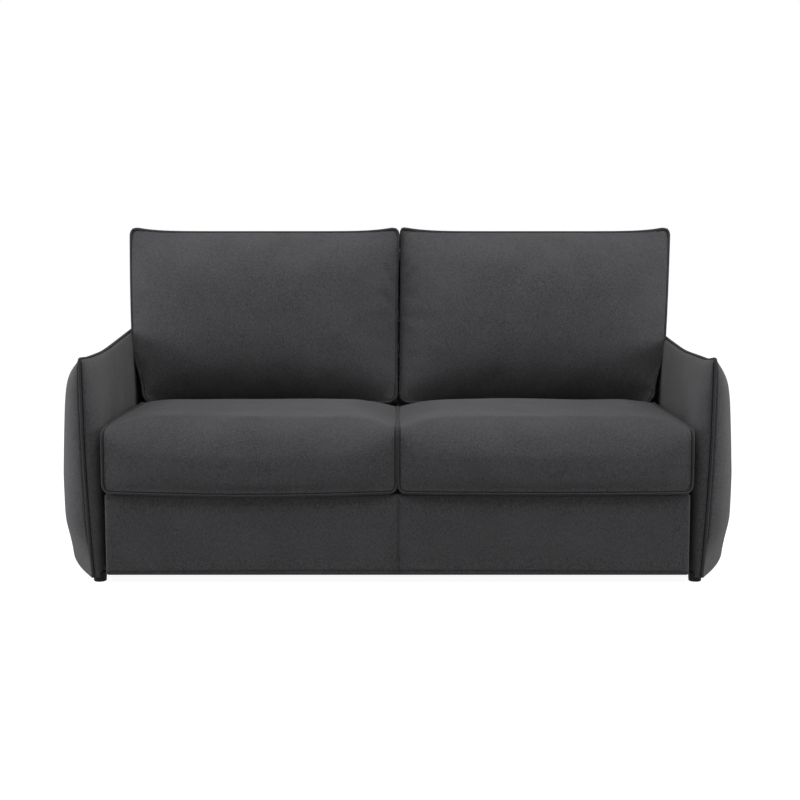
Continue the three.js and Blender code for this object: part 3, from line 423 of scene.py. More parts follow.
def welt(name, path, faces_to, middle, body, size, closed=False):
    """Piping along an edge, with a thin near-black tube beside it on the cushion's side, which is painted
    shade for the groove between cord and cover.

    faces_to gives the surface's direction at each point of the path, and middle a point inside the cover.
    """
    groove = []
    for i, p in enumerate(path):
        before, after = neighbours(path, i, closed)
        inward = (after - before).cross(faces_to[i]).normalized()
        if inward.dot(middle - p) < 0:
            inward = -inward
        groove.append(p + inward * (size + GROOVE_GAP) + faces_to[i] * GROOVE_RISE)
    cord = tube(f"{name}_piping", path, size, PIPING, closed)
    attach(cord, body)
    # The near-black tube in the groove is painted shade where the cover meets the cord.
    line = tube(f"{name}_seam", groove, GROOVE_RADIUS, GROOVE_SHADE, closed, GROOVE_SIDES)
    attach(line, body)


# Covers that settle as cloth

COVERS = []
SETTLE_FRAMES = 26
PRESSURE = 4.0


def settle_later(obj, free, swell, most):
    """Mark a cover for the cloth simulation, where its free points move by less than most."""
    held = sorted(set(range(len(obj.data.vertices))) - free)
    COVERS.append((obj, held, swell, most))


def add_cloth(obj, held, swell):
    obj.vertex_groups.new(name="held").add(held, 1.0, "REPLACE")
    cloth = obj.modifiers.new("cloth", "CLOTH")
    settings = cloth.settings
    settings.quality = 5
    settings.mass = 0.3
    settings.air_damping = 3
    settings.tension_stiffness = 20
    settings.compression_stiffness = 20
    settings.shear_stiffness = 10
    settings.bending_stiffness = 1.5
    settings.vertex_group_mass = "held"
    settings.shrink_min = -swell
    settings.use_pressure = True
    settings.uniform_pressure_force = PRESSURE
    settings.effector_weights.gravity = 0.0
    cloth.collision_settings.use_collision = False
    cloth.collision_settings.use_self_collision = False
    cloth.point_cache.frame_start = 1
    cloth.point_cache.frame_end = SETTLE_FRAMES


def settle_covers():
    """Let the covers settle as cloth a little larger than their seams, and keep them as plain meshes."""
    scene = bpy.context.scene
    for obj, held, swell, _ in COVERS:
        add_cloth(obj, held, swell)
    for number in range(1, SETTLE_FRAMES + 1):
        scene.frame_set(number)
    graph = bpy.context.evaluated_depsgraph_get()
    for obj, _, _, most in COVERS:
        moved = [v.co.copy() for v in obj.evaluated_get(graph).data.vertices]
        for vertex, place in zip(obj.data.vertices, moved):
            step = place - vertex.co
            step *= most * math.tanh(step.length / most) / max(step.length, TINY)
            vertex.co += step
        obj.modifiers.clear()
        obj.vertex_groups.clear()
        obj.data.update()
    scene.frame_set(1)


def stand_in(obj, node, body):
    """A padded cover rides on its body and takes the place of the plain solid."""
    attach(obj, body)
    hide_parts(node)


# Seat cushions

SEAT_HALF = 0.7875
SEAT_GAP = 0.0022
SEAT_FRONT = -0.490
SEAT_REAR = 0.1832
SEAT_LIP = 0.2445
SEAT_UNDER = 0.2665
SEAT_TOP = 0.441
SEAT_EDGE = 0.408
SEAT_CORNER = 0.021
SEAT_SLICES = 64
SEAT_CROWDING = 0.11
# The left cushion's lower edge hangs more than the right one's.
SEAT_SAG = {-1: 0.007, 1: 0.002}

# Towards its piped sides the front steps back and the top falls to the piping.
SEAT_FALL_WIDTH = 0.135
SEAT_FALL_POWER = 2.4
SEAT_SIDE_INSET = 0.009
SEAT_INNER_RISE = 0.008
SEAT_REAR_TILT = 0.006
SEAT_OUTER_RANGE = (0.2, 0.6)
SEAT_FREE_WIDTH = 0.07

# The waterfall edge is wide at mid width and tight at the sides.
SEAT_TURN = (0.090, 0.024)
SEAT_FRONT_DROP = 0.006
SEAT_REAR_DROP = 0.022
SEAT_REAR_TURN = 0.026
FACE_STEPS = 22
TURN_STEPS = 22
TOP_STEPS = 40
REAR_TURN_STEPS = 6
REAR_STEPS = 4
UNDER_STEPS = 24

# Underside, and the lip that hangs in front of the panel.
UNDER_TURN = 0.008
LIP_DEPTH = 0.066
LIP_SLOPE = 0.020
LIP_RISE = 0.004
LIP_THIN = 0.001
LIP_START = 0.018

# The sides draw in at the front, between the rolls of the arms.
DRAWN_IN = 0.0090
DRAWN_FROM = -0.46
DRAWN_TO = -0.33

# Slow waves of the filling: height or depth, and waves per metre.
TOP_WAVE = (0.0032, 4.5)
FACE_WAVE = (0.0030, 5.0)
FACE_WAVE_ROWS = 12

SEAT_HELD_ROWS = 4
SEAT_SWELL = 0.002
SEAT_MOST = 0.006
SEAT_PIPE = 0.0036
SEAT_PIPE_STEP = 0.004


def seat_profile(fall, low, edge, rear_edge):
    """Side view of a seat cushion: over from its lower front edge to its rear top, and back underneath.

    fall goes from 0 at mid width to 1 at a piped side edge, and low is where the front face starts.
    """
    front = SEAT_FRONT + SEAT_SIDE_INSET * fall
    turn = mix(*SEAT_TURN, fall)
    crown = mix(SEAT_TOP, (edge + rear_edge) / 2, fall)
    front_top = mix(SEAT_TOP - SEAT_FRONT_DROP, edge, fall)
    rear_top = mix(SEAT_TOP - SEAT_REAR_DROP, rear_edge, fall)
    over = [(front, mix(low, front_top - turn, i / FACE_STEPS)) for i in range(FACE_STEPS)]
    for i in range(TURN_STEPS):
        a = QUARTER * i / TURN_STEPS
        over.append((front + turn * (1 - math.cos(a)), front_top - turn * (1 - math.sin(a))))
    start, end = front + turn, SEAT_REAR - SEAT_REAR_TURN
    for i in range(TOP_STEPS):
        t = i / TOP_STEPS
        base = mix(front_top, rear_top, t)
        over.append((mix(start, end, t), base + (crown - base) * math.sin(math.pi * t)))
    for i in range(REAR_TURN_STEPS + 1):
        a = QUARTER * i / REAR_TURN_STEPS
        over.append((end + SEAT_REAR_TURN * math.sin(a), rear_top - SEAT_REAR_TURN * (1 - math.cos(a))))
    rear_low, rear_high = SEAT_UNDER + UNDER_TURN, rear_top - SEAT_REAR_TURN
    under = [(SEAT_REAR, mix(rear_high, rear_low, i / REAR_STEPS)) for i in range(1, REAR_STEPS + 1)]
    lip_rear = SEAT_FRONT + LIP_DEPTH
    for i in range(UNDER_STEPS + 1):
        under.append((mix(SEAT_REAR - UNDER_TURN, lip_rear, i / UNDER_STEPS), SEAT_UNDER))
    under.append((lip_rear, SEAT_LIP + LIP_RISE))
    under.append((lip_rear - LIP_SLOPE, SEAT_LIP + LIP_THIN))
    under.append((front + LIP_START, low + LIP_THIN))
    return over, under


def drawn_in(x, y):
    """The cushions are a little narrower at the front, between the rolls of the arms."""
    return x - DRAWN_IN * (x / SEAT_HALF) ** 3 * (1 - smooth_step(y, DRAWN_FROM, DRAWN_TO))


def seat_ring(side, t):
    """Section of a seat cushion at a share of its width, from the middle of the sofa outwards.

    The second value says how many of its points are on the upper side.
    """
    share = t - SEAT_CROWDING * math.sin(2 * math.pi * t)
    x = mix(SEAT_GAP, SEAT_HALF, share)
    near = min(x - SEAT_GAP, SEAT_HALF - x)
    fall = (1 - clamp(near / SEAT_FALL_WIDTH)) ** SEAT_FALL_POWER
    outer = smooth_step(x, *SEAT_OUTER_RANGE)
    edge = SEAT_EDGE + SEAT_INNER_RISE * (1 - outer)
    rear_edge = SEAT_EDGE + mix(-SEAT_REAR_TILT, SEAT_REAR_TILT, outer)
    low = SEAT_LIP - SEAT_SAG[side] * math.sin(math.pi * share) ** 1.5
    if near < SEAT_CORNER:
        low += SEAT_CORNER - math.sqrt(SEAT_CORNER**2 - (SEAT_CORNER - near) ** 2)
    over, under = seat_profile(fall, low, edge, rear_edge)
    free = smooth_step(near, 0.0, SEAT_FREE_WIDTH)
    ring = []
    for k, (y, z) in enumerate(over):
        top = smooth_step(k, FACE_STEPS, FACE_STEPS + TURN_STEPS)
        face = (1 - top) * smooth_step(k, 0, FACE_WAVE_ROWS)
        z += TOP_WAVE[0] * free * top * wander((side * x, y, z), TOP_WAVE[1], 3 + side)
        y += FACE_WAVE[0] * free * face * wander((side * x, y, z), FACE_WAVE[1], 9 + side)
        ring.append(Vector((side * drawn_in(x, y), y, z)))
    ring += [Vector((side * drawn_in(x, y), y, z)) for y, z in under]
    return ring, len(over)


def seat_cushion(word, side):
    rings = []
    for i in range(SEAT_SLICES + 1):
        ring, count = seat_ring(side, i / SEAT_SLICES)
        rings.append(ring)
    if side < 0:
        rings = rings[::-1]
    cushion = loft(f"seat_cushion_{word}_soft", rings, FABRIC)
    stand_in(cushion, f"seat_cushion_{word}", "seat_section")
    size, ends = len(rings[0]), len(CLOSING_SHARES)
    loose = range(2, len(rings) - 2)
    free = {(ends + i) * size + k for i in loose for k in range(SEAT_HELD_ROWS, count)}
    settle_later(cushion, free, SEAT_SWELL, SEAT_MOST)
    path = [p.copy() for p in rings[0][:count]][::-1]
    path += [ring[0].copy() for ring in rings[1:-1]]
    path += [p.copy() for p in rings[-1][:count]]
    path = thin(path, SEAT_PIPE_STEP)
    faces_to = []
    for i in range(len(path)):
        before, after = neighbours(path, i, False)
        step = after - before
        out = Vector((0, -abs(step.z), abs(step.y)))
        side_on = out.length > 0.35 * step.length and abs(step.y) > 0.25 * abs(step.z)
        faces_to.append(out.normalized() if side_on else Vector((0, -1, 0)))
    middle = Vector((side * SEAT_HALF / 2, (SEAT_FRONT + SEAT_REAR) / 2, (SEAT_LIP + SEAT_TOP) / 2))
    welt(f"seat_{word}", path, faces_to, middle, "seat_section", SEAT_PIPE)


# Back cushions. Their own frame: across, forward of the section's plane, up along it.

RECLINE = math.radians(12)
BACK_PIVOT = Vector((0.0, 0.23525, 0.2531))
BACK_LOW = 0.1450
BACK_HIGH = 0.6885
BACK_RISE = (BACK_HIGH - BACK_LOW) / 2
BACK_MIDDLE = (BACK_HIGH + BACK_LOW) / 2
BACK_CORNER = 0.026
BACK_TIGHT_CORNER = 0.010

# Side limits from the low end up. The outer edges flare, the right one more near its top.
# The inner edges have a start, a rise and the power of that rise.
BACK_OUTER = {-1: 0.8055, 1: 0.8090}
BACK_FLARE = 0.0230
BACK_FLARE_POWER = 2.4
BACK_FLARE_SHARE = {-1: 1.0, 1: 0.75}
BACK_LEAN = {-1: 0.0010, 1: 0.0165}
BACK_INNER = {-1: (0.0045, -0.0070, 2.5), 1: (0.0080, 0.0030, 1)}

# Outline: the sides pull in, the top sags between its corners and the low edge lifts.
BACK_PULL = 0.002
BACK_TOP_SAG = 0.0165
BACK_LOW_LIFT = 0.004
# The low outer edge stays clear of the foot leg, which swings down beside it in the open bed.
LEG_ROOM = 0.0225
LEG_RANGE = (0.180, 0.330)

# Depth of the piped edge, of the fullness in front of it and of the rear side.
BACK_DEPTH = 0.110
BACK_DEPTH_RISE = 0.022
BACK_BEHIND = 0.012
BACK_UNDER = 0.026
BACK_CROWN = 0.090
CROWN_TOP = 0.3
BACK_REAR = 0.0128
BACK_REAR_GAP = 0.0005
# Shares by which the side strips narrow to the rear, across and up.
BACK_TAPER = (0.015, 0.02)
BACK_ACROSS = 72
BACK_UP = 48
BOXING_STRIPS = 7
BOXING_BOW = 0.0085

# Slow waves of the filling: depth, and waves per metre.
BACK_WAVES = ((0.0045, 4.2), (0.0022, 9.0))

BACK_SWELL = 0.004
BACK_MOST = 0.010
BACK_PIPE = 0.0044
BACK_PIPE_STEP = 0.005

# Pulls in the covers: two ends across and up in the cushion's plane, then width and depth.
FOLDS = {
    -1: (
        ((0.040, 0.556), (0.011, 0.498), 0.0075, 0.0080),
        ((0.050, 0.482), (0.014, 0.436), 0.0080, 0.0072),
        ((0.764, 0.322), (0.798, 0.178), 0.0090, 0.0076),
        ((0.742, 0.640), (0.700, 0.612), 0.0110, 0.0044),
    ),
    1: (
        ((0.018, 0.505), (0.052, 0.548), 0.0080, 0.0060),
        ((0.016, 0.420), (0.060, 0.398), 0.0090, 0.0056),
        ((0.790, 0.240), (0.752, 0.330), 0.0100, 0.0052),
        ((0.772, 0.650), (0.724, 0.634), 0.0110, 0.0040),
    ),
}


def back_to_world(x, forward, s):
    return Vector(
        (
            x,
            BACK_PIVOT.y + s * math.sin(RECLINE) - forward * math.cos(RECLINE),
            BACK_PIVOT.z + s * math.cos(RECLINE) + forward * math.sin(RECLINE),
        )
    )


def back_edge_x(side, high):
    """Inner and outer limits of a back cushion at a share of its height."""
    high = clamp(high)
    flare = BACK_FLARE * (1 - (1 - high) ** BACK_FLARE_POWER)
    outer = BACK_OUTER[side] + BACK_FLARE_SHARE[side] * flare + BACK_LEAN[side] * high
    start, rise, power = BACK_INNER[side]
    return start + rise * high**power, outer


def beside_leg(s):
    """1 where the foot leg swings past the cushion's side, 0 above."""
    return 1 - smooth_step(s, *LEG_RANGE)


def back_outline(side, u, v):
    """Outline point for a boundary grid point, u across and v up, both from -1 to 1."""
    inner, outer = back_edge_x(side, (v + 1) / 2)
    middle, half = (inner + outer) / 2, (outer - inner) / 2
    x = middle + half * u
    s = BACK_MIDDLE + BACK_RISE * v
    x -= LEG_ROOM * beside_leg(s) * max(u, 0) ** 8
    x -= math.copysign(BACK_PULL * (1 - v * v), u) * abs(u) ** 8
    s -= BACK_TOP_SAG * max(v, 0) ** 6 * (1 - abs(u) ** 7)
    s += BACK_LOW_LIFT * max(-v, 0) ** 6 * (1 - u * u)
    # Round the corners by easing points towards the diagonal.
    near_u = (1 - abs(u)) * half
    near_v = (1 - abs(v)) * BACK_RISE
    corner = BACK_TIGHT_CORNER if side > 0 and u < 0 < v else BACK_CORNER
    if near_u < corner and near_v < corner:
        du, dv = corner - near_u, corner - near_v
        scale = max(du, dv) / math.hypot(du, dv)
        x -= math.copysign(du * (1 - scale), u)
        s -= math.copysign(dv * (1 - scale), v)
    return x, s


def back_edge_depth(side, u, v):
    """How far the piped edge stands forward. The right cushion starts behind the left one's edge."""
    behind = BACK_BEHIND * max(-u, 0) ** 16 if side > 0 else 0.0
    under = BACK_UNDER * max(-v, 0) ** 8 * (1 - u**8)
    return BACK_DEPTH + BACK_DEPTH_RISE * (v + 1) / 2 - behind - under


def fold_depth(side, x, s):
    total = 0.0
    for first, last, width, depth in FOLDS[side]:
        run = Vector(last) - Vector(first)
        share = clamp((Vector((x, s)) - Vector(first)).dot(run) / run.length_squared)
        away = (Vector((x, s)) - Vector(first) - run * share).length
        total += depth * math.exp(-((away / width) ** 2))
    return total


def ease(t):
    """Closer spacing near both ends."""
    return math.copysign(1 - (1 - abs(t)) ** 1.35, t) if t else 0.0


def back_crown(u, v):
    """Fullness of the front, highest a little above mid height."""
    full_u = (1 - abs(u) ** 2.4) ** 0.8
    if v > CROWN_TOP:
        full_v = 1 - ((v - CROWN_TOP) / (1 - CROWN_TOP)) ** 2.6
    else:
        w = (CROWN_TOP - v) / (1 + CROWN_TOP)
        full_v = 1 - 0.70 * w**1.35 - 0.30 * w**6
    return BACK_CROWN * full_u * full_v


def back_front(side, u, v):
    x, s = back_outline(side, u, v)
    free = (1 - abs(u) ** 6) * (1 - abs(v) ** 6)
    (deep, scale), (less_deep, finer) = BACK_WAVES
    bend = deep * wander((x * side, s, 0), scale, 5 + side)
    bend += less_deep * wander((x, s * 1.4, 1), finer, 8 + side)
    lift = back_crown(u, v) + bend * free - fold_depth(side, x, s) * (1 - abs(u) ** 60)
    return back_to_world(side * x, back_edge_depth(side, u, v) + lift, s)


def tapered_outline(side, u, v, t):
    """Outline point between the piped edge at 0 and the narrower rear edge at 1."""
    return back_outline(side, u * (1 - BACK_TAPER[0] * t), v * (1 - BACK_TAPER[1] * t))


def back_rear(side, u, v):
    x, s = tapered_outline(side, u, v, 1)
    return back_to_world(side * x, BACK_REAR + BACK_REAR_GAP, s)


def boxing_point(side, u, v, t):
    """A point of the side strip between the piped edge at 0 and the rear edge at 1."""
    x, s = tapered_outline(side, u, v, t)
    bow = BOXING_BOW * math.sin(math.pi * t)
    bow_x = bow * (1 - beside_leg(s)) if u > 0 else bow
    x += bow_x * math.copysign(1, u) * abs(u) ** 8
    s += bow * math.copysign(1, v) * abs(v) ** 8
    return back_to_world(side * x, mix(back_edge_depth(side, u, v), BACK_REAR, t), s)


def back_cushion(word, side):
    across = [ease(-1 + 2 * i / BACK_ACROSS) for i in range(BACK_ACROSS + 1)]
    up = [ease(-1 + 2 * j / BACK_UP) for j in range(BACK_UP + 1)]
    wide = len(across)
    points = [back_front(side, u, v) for v in up for u in across]
    base = len(points)
    points += [back_rear(side, u, v) for v in up for u in across]
    faces = []
    for j in range(BACK_UP):
        for i in range(BACK_ACROSS):
            a = j * wide + i
            quad = (a, a + 1, a + 1 + wide, a + wide)
            faces.append(quad)
            faces.append(tuple(base + k for k in quad)[::-1])
    rim = [(i, 0) for i in range(BACK_ACROSS)] + [(BACK_ACROSS, j) for j in range(BACK_UP)]
    rim += [(i, BACK_UP) for i in range(BACK_ACROSS, 0, -1)] + [(0, j) for j in range(BACK_UP, 0, -1)]
    loops = [[j * wide + i for i, j in rim]]
    for strip in range(1, BOXING_STRIPS):
        loops.append(list(range(len(points), len(points) + len(rim))))
        points += [boxing_point(side, across[i], up[j], strip / BOXING_STRIPS) for i, j in rim]
    loops.append([base + j * wide + i for i, j in rim])
    for near, far in zip(loops, loops[1:]):
        for k in range(len(rim)):
            after = (k + 1) % len(rim)
            faces.append((near[k], far[k], far[after], near[after]))
    cushion = mesh_object(f"back_cushion_{word}_soft", points, faces, FABRIC)
    stand_in(cushion, f"back_cushion_{word}", "back_section")
    free = {j * wide + i for j in range(2, BACK_UP - 1) for i in range(2, BACK_ACROSS - 1)}
    settle_later(cushion, free, BACK_SWELL, BACK_MOST)
    edge = thin([points[k].copy() for k in loops[0]], BACK_PIPE_STEP)
    ahead = back_to_world(0, 1, 0) - back_to_world(0, 0, 0)
    middle = back_to_world(side * BACK_OUTER[side] / 2, BACK_DEPTH, BACK_MIDDLE)
    welt(f"back_{word}", edge, [ahead] * len(edge), middle, "back_section", BACK_PIPE, closed=True)


# Arms

ARM_FRONT = -0.472
ARM_REAR = 0.490
ARM_LOW = 0.014
ARM_TOP_FRONT = 0.592
ARM_INNER = 0.802
ARM_INNER_REAR = 0.812
ARM_BOARD = 0.8280
HALF_WIDTH = 0.9483
ARM_LEVELS = 52

# Where each arm's top seam leaves its level part, and how fast it climbs from there.
ARM_CLIMB = {-1: (-0.180, 0.0930), 1: (-0.060, 0.0800)}
ARM_TOP_DROP = {-1: 0.0, 1: 0.005}
CLIMB_SOFTNESS = 0.035
TIP_RISE = 0.004
TIP_LENGTH = 0.10

# The piped seam up the front edge leans outwards. Each pad ends beside it.
SEAM_X = 0.8110
SEAM_SPREAD = 0.0200
SEAM_LEAN = 0.0030
SEAM_POWER = 2.2
PAD_GAP = 0.0015
SEAM_STEPS = 60
ARM_PIPE = 0.0042

# How far behind the arm's front the seam climbs, bends over the top and starts along it.
SEAM_BEHIND = 0.001
SEAM_BEND = 0.004
SEAM_ALONG = 0.012
SEAM_BEND_SHIFT = 0.0005
SEAM_TOP_SHIFT = 0.003
SEAM_SHIFT_RANGE = (-0.45, -0.2)
SEAM_TOP_LEVEL = 1.002

# Inner pad: a roll at the front that flattens towards the top, then a slow recess to the rear.
SHOULDER_START = 0.62
SHOULDER_REACH = 0.007
ROLL = 0.0145
ROLL_LOSS = 0.55
ROLL_FADE = (0.43, 0.56)
ROLL_LENGTH = 0.20
INNER_TURN = (0.034, 0.15)
INNER_TURN_RISE = (0.38, 0.56)
INNER_TURN_STEPS = 12
INNER_STEPS = 60
FRONT_FLAT = 0.009
FRONT_FLAT_SHARE = 0.35
NOSE_SHARE = 0.45
NOSE_BEHIND = 0.0008
INNER_END_BEHIND = 0.0045
RECESS_START = 0.24
RECESS_END = 0.54
INNER_BOARD_STOPS = (0.045, 0.15, 0.30, 0.45, 0.62, 0.80, 0.93)

# Outer pad: widest a little before mid length, full low down and closing towards the seam at the top.
OUTER_WIDEST = 0.42
OUTER_TURN_STEPS = 34
OUTER_STEPS = 70
OUTER_POWER = 0.52
OUTER_LOW_POWER = 0.50
OUTER_LOW_LEVEL = 0.26
OUTER_GAP = 0.002
OUTER_START_BEHIND = 0.0035
OUTER_END_BEHIND = 0.005
REAR_WIDTH = 0.72
REAR_TURN_SHARE = 0.07
OUTER_BOARD_STOPS = (0.962, 0.82, 0.67, 0.48, 0.29, 0.12, 0.05)
BELLY_LEVEL = 0.45
BELLY = 0.995
BELLY_LOW = 0.93
TUCK = 0.12
TUCK_LEVEL = 0.03
SINK = 0.13
SINK_ALONG = (0.08, 0.60)
SINK_LEVELS = (0.72, 0.97)
SINK_EASE = 0.03


def arm_top(side, y):
    start, slope = ARM_CLIMB[side]
    drop = ARM_TOP_DROP[side]
    rise = CLIMB_SOFTNESS * math.log1p(math.exp((y - start) / CLIMB_SOFTNESS))
    tip = (TIP_RISE + drop) * (1 - smooth_step(y, ARM_FRONT, ARM_FRONT + TIP_LENGTH))
    return ARM_TOP_FRONT - drop + slope * rise + tip


def arm_point(side, x, y, level):
    return Vector((side * x, y, ARM_LOW + level * (arm_top(side, y) - ARM_LOW)))


def seam_x(level):
    return SEAM_X + SEAM_SPREAD * (1 - (1 - level) ** SEAM_POWER) + SEAM_LEAN * level


def inner_ring(side, level):
    groove_shade = seam_x(level) - PAD_GAP
    lean = 1 - round_rise(1 - (level - SHOULDER_START) / (1 - SHOULDER_START))
    height = mix(ARM_LOW, ARM_TOP_FRONT, level)
    roll = ROLL * (1 - ROLL_LOSS * smooth_step(height, *ROLL_FADE))

    def shouldered(x):
        return x + (groove_shade - SHOULDER_REACH - x) * lean

    front_x = shouldered(ARM_INNER - roll)
    flat = min(FRONT_FLAT, FRONT_FLAT_SHARE * (groove_shade - front_x))
    wide = groove_shade - flat - front_x
    deep = mix(*INNER_TURN, smooth_step(height, *INNER_TURN_RISE))
    crest = ARM_FRONT + deep
    ring = []
    for i in range(INNER_STEPS):
        y = mix(ARM_REAR, crest, i / INNER_STEPS)
        back = smooth_step(y, ARM_FRONT + RECESS_START, ARM_FRONT + RECESS_END)
        bow = roll * (1 - smooth_step(y, crest, crest + ROLL_LENGTH))
        ring.append(arm_point(side, shouldered(mix(ARM_INNER, ARM_INNER_REAR, back) - bow), y, level))
    for i in range(INNER_TURN_STEPS + 1):
        a = QUARTER * i / INNER_TURN_STEPS
        y = ARM_FRONT + deep * (1 - math.sin(a))
        ring.append(arm_point(side, front_x + wide * (1 - math.cos(a)), y, level))
    ring.append(arm_point(side, groove_shade - NOSE_SHARE * flat, ARM_FRONT + NOSE_BEHIND, level))
    ring.append(arm_point(side, groove_shade, ARM_FRONT + INNER_END_BEHIND, level))
    parting = max(groove_shade, ARM_BOARD - PAD_GAP)
    ring += [arm_point(side, parting, ARM_FRONT + y, level) for y in INNER_BOARD_STOPS]
    ring.append(arm_point(side, parting, ARM_REAR, level))
    return ring


def outer_bulge(level):
    """Share of the full width at a height: full low down, closing towards the seam at the top."""
    if level > BELLY_LEVEL:
        w = (1 - level) / (1 - BELLY_LEVEL)
        return BELLY * (0.72 * (1 - math.exp(-w / 0.08)) + 0.28 * w**0.6)
    tuck = TUCK * (1 - round_rise(level / TUCK_LEVEL))
    rise = 1 - (1 - level / BELLY_LEVEL) ** 2.2
    return BELLY * mix(BELLY_LOW, 1.0, rise) - tuck


def sunk_level(level, t):
    """Towards the rear the shoulder sinks below the top seam, so from the front only the seam shows."""
    sink = SINK * smooth_step(t, *SINK_ALONG) * smooth_step(level, *SINK_LEVELS)
    return level - sink * (1 - math.exp((level - 1) / SINK_EASE))


def outer_ring(side, level):
    groove_shade = seam_x(level) + PAD_GAP
    parting = max(groove_shade, ARM_BOARD + PAD_GAP)
    power = OUTER_POWER + OUTER_LOW_POWER * (1 - smooth_step(level, 0.0, OUTER_LOW_LEVEL))
    full = (HALF_WIDTH - groove_shade - 2 * OUTER_GAP) * outer_bulge(level)
    ring = []
    for i in range(OUTER_STEPS + 1):
        if i < OUTER_TURN_STEPS:
            t = OUTER_WIDEST * (i / OUTER_TURN_STEPS) ** 2
        else:
            t = mix(OUTER_WIDEST, 1.0, (i - OUTER_TURN_STEPS) / (OUTER_STEPS - OUTER_TURN_STEPS))
        spread = (1 - (1 - clamp(t / OUTER_WIDEST)) ** 2) ** power
        rear = mix(REAR_WIDTH, 1.0, round_rise((1 - t) / REAR_TURN_SHARE))
        behind = OUTER_START_BEHIND if i == 0 else 0.0
        y = mix(ARM_FRONT + behind, ARM_REAR, t)
        ring.append(arm_point(side, groove_shade + OUTER_GAP + full * spread * rear, y, sunk_level(level, t)))
    ring += [arm_point(side, parting, ARM_FRONT + y, level) for y in OUTER_BOARD_STOPS]
    ring.append(arm_point(side, groove_shade, ARM_FRONT + OUTER_END_BEHIND, level))
    return ring


def arm_pad(name, node, side, rings):
    """One pad of an arm, whose top cap is laid along the rising seam."""
    pad = loft(name, rings, FABRIC)
    for vertex in list(pad.data.vertices)[-len(CLOSING_SHARES) * len(rings[0]):]:
        vertex.co.z = arm_top(side, vertex.co.y)
    stand_in(pad, node, "sofa_body")


def arm(word, side):
    levels = [0.5 - 0.5 * math.cos(math.pi * i / ARM_LEVELS) for i in range(ARM_LEVELS + 1)]
    inner = [inner_ring(side, level)[::side] for level in levels]
    outer = [outer_ring(side, level)[::side] for level in levels]
    arm_pad(f"arm_inner_{word}_soft", f"arm_inner_pad_{word}", side, inner)
    arm_pad(f"arm_outer_{word}_soft", f"arm_outer_pad_{word}", side, outer)
    path = []
    for i in range(SEAM_STEPS):
        level = i / SEAM_STEPS
        path.append(arm_point(side, seam_x(level), ARM_FRONT + SEAM_BEHIND, level))
    path.append(arm_point(side, seam_x(1) + SEAM_BEND_SHIFT, ARM_FRONT + SEAM_BEND, 1.0))
    for i in range(SEAM_STEPS + 1):
        y = mix(ARM_FRONT + SEAM_ALONG, ARM_REAR, i / SEAM_STEPS)
        shift = SEAM_TOP_SHIFT * smooth_step(y, *SEAM_SHIFT_RANGE)
        path.append(arm_point(side, seam_x(1) + shift, y, SEAM_TOP_LEVEL))
    forward, over, upward = Vector((0, -1, 0)), Vector((0, -0.7, 0.7)), Vector((0, 0, 1))
    faces_to = [forward] * SEAM_STEPS + [over] + [upward] * (SEAM_STEPS + 1)
    welt(f"arm_{word}", path, faces_to, Vector((0, 0, ARM_TOP_FRONT / 2)), "sofa_body", ARM_PIPE)


# Flat covers

PANEL_EDGE_MOST = 0.9
PANEL_CORNER_LOSS = 0.6
PANEL_CORNER_LEAST = 0.002
PANEL_FACE_REACH = 0.9
PANEL_FACE_SHARES = (0.1, 0.25, 0.5, 0.75)
FRONT_PANEL_LOW = Vector((-0.775, -0.480, 0.0215))
FRONT_PANEL_HIGH = Vector((0.775, -0.4425, 0.2400))
FRONT_PANEL_RADIUS = 0.007
FRONT_PANEL_BOW = 0.002
HEM_HALF = 0.772
HEM_Y = -0.4808
HEM_LOW = 0.0335
HEM_RISE = 0.0035
HEM_RADIUS = 0.0011
HEM_STEPS = 80
PANEL_SEAM_X = 0.002
PANEL_SEAM_HALF = 0.0016
PANEL_SEAM_Y = -0.4817
PANEL_SEAM_LOW = 0.026
PANEL_SEAM_LENGTH = 0.205
PANEL_SEAM_RADIUS = 0.0007
PANEL_SEAM_STEPS = 30
BACK_PANEL_LOW = Vector((-0.8175, 0.4605, 0.038))
BACK_PANEL_HIGH = Vector((0.8175, 0.490, 0.880))
BACK_PANEL_RADIUS = 0.012
WING_RADIUS = 0.006
WING_STEPS = 8


def rounded_panel(name, low, high, radius, cells, bow=0.0):
    """Upholstered panel: rounded edges, a slightly full face and straight sides."""
    center, half = (low + high) / 2, (high - low) / 2
    edge = min(radius, half.y * PANEL_EDGE_MOST)

    def outline(inset, depth):
        corner = max(radius - inset * PANEL_CORNER_LOSS, PANEL_CORNER_LEAST)
        flat = rounded_outline(half.x - inset, half.z - inset, corner, *cells)
        return [center + Vector((p.x, depth, p.y)) for p in flat]

    rings = []
    for inset, depth in quarter_turn()[:-1]:
        rings.append(outline(edge * inset, half.y - edge * depth))
    rings.append(outline(0, 0.0))
    for depth, inset in quarter_turn():
        rings.append(outline(edge * inset, -half.y + edge * depth))
    for s in PANEL_FACE_SHARES:
        inset = edge + s * (min(half.x, half.z) - edge) * PANEL_FACE_REACH
        rings.append(outline(inset, -half.y - bow * s))
    return loft(name, rings, FABRIC)


def trim(name, path, radius):
    line = tube(name, path, radius, PIPING, sides=6)
    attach(line, "sofa_body")


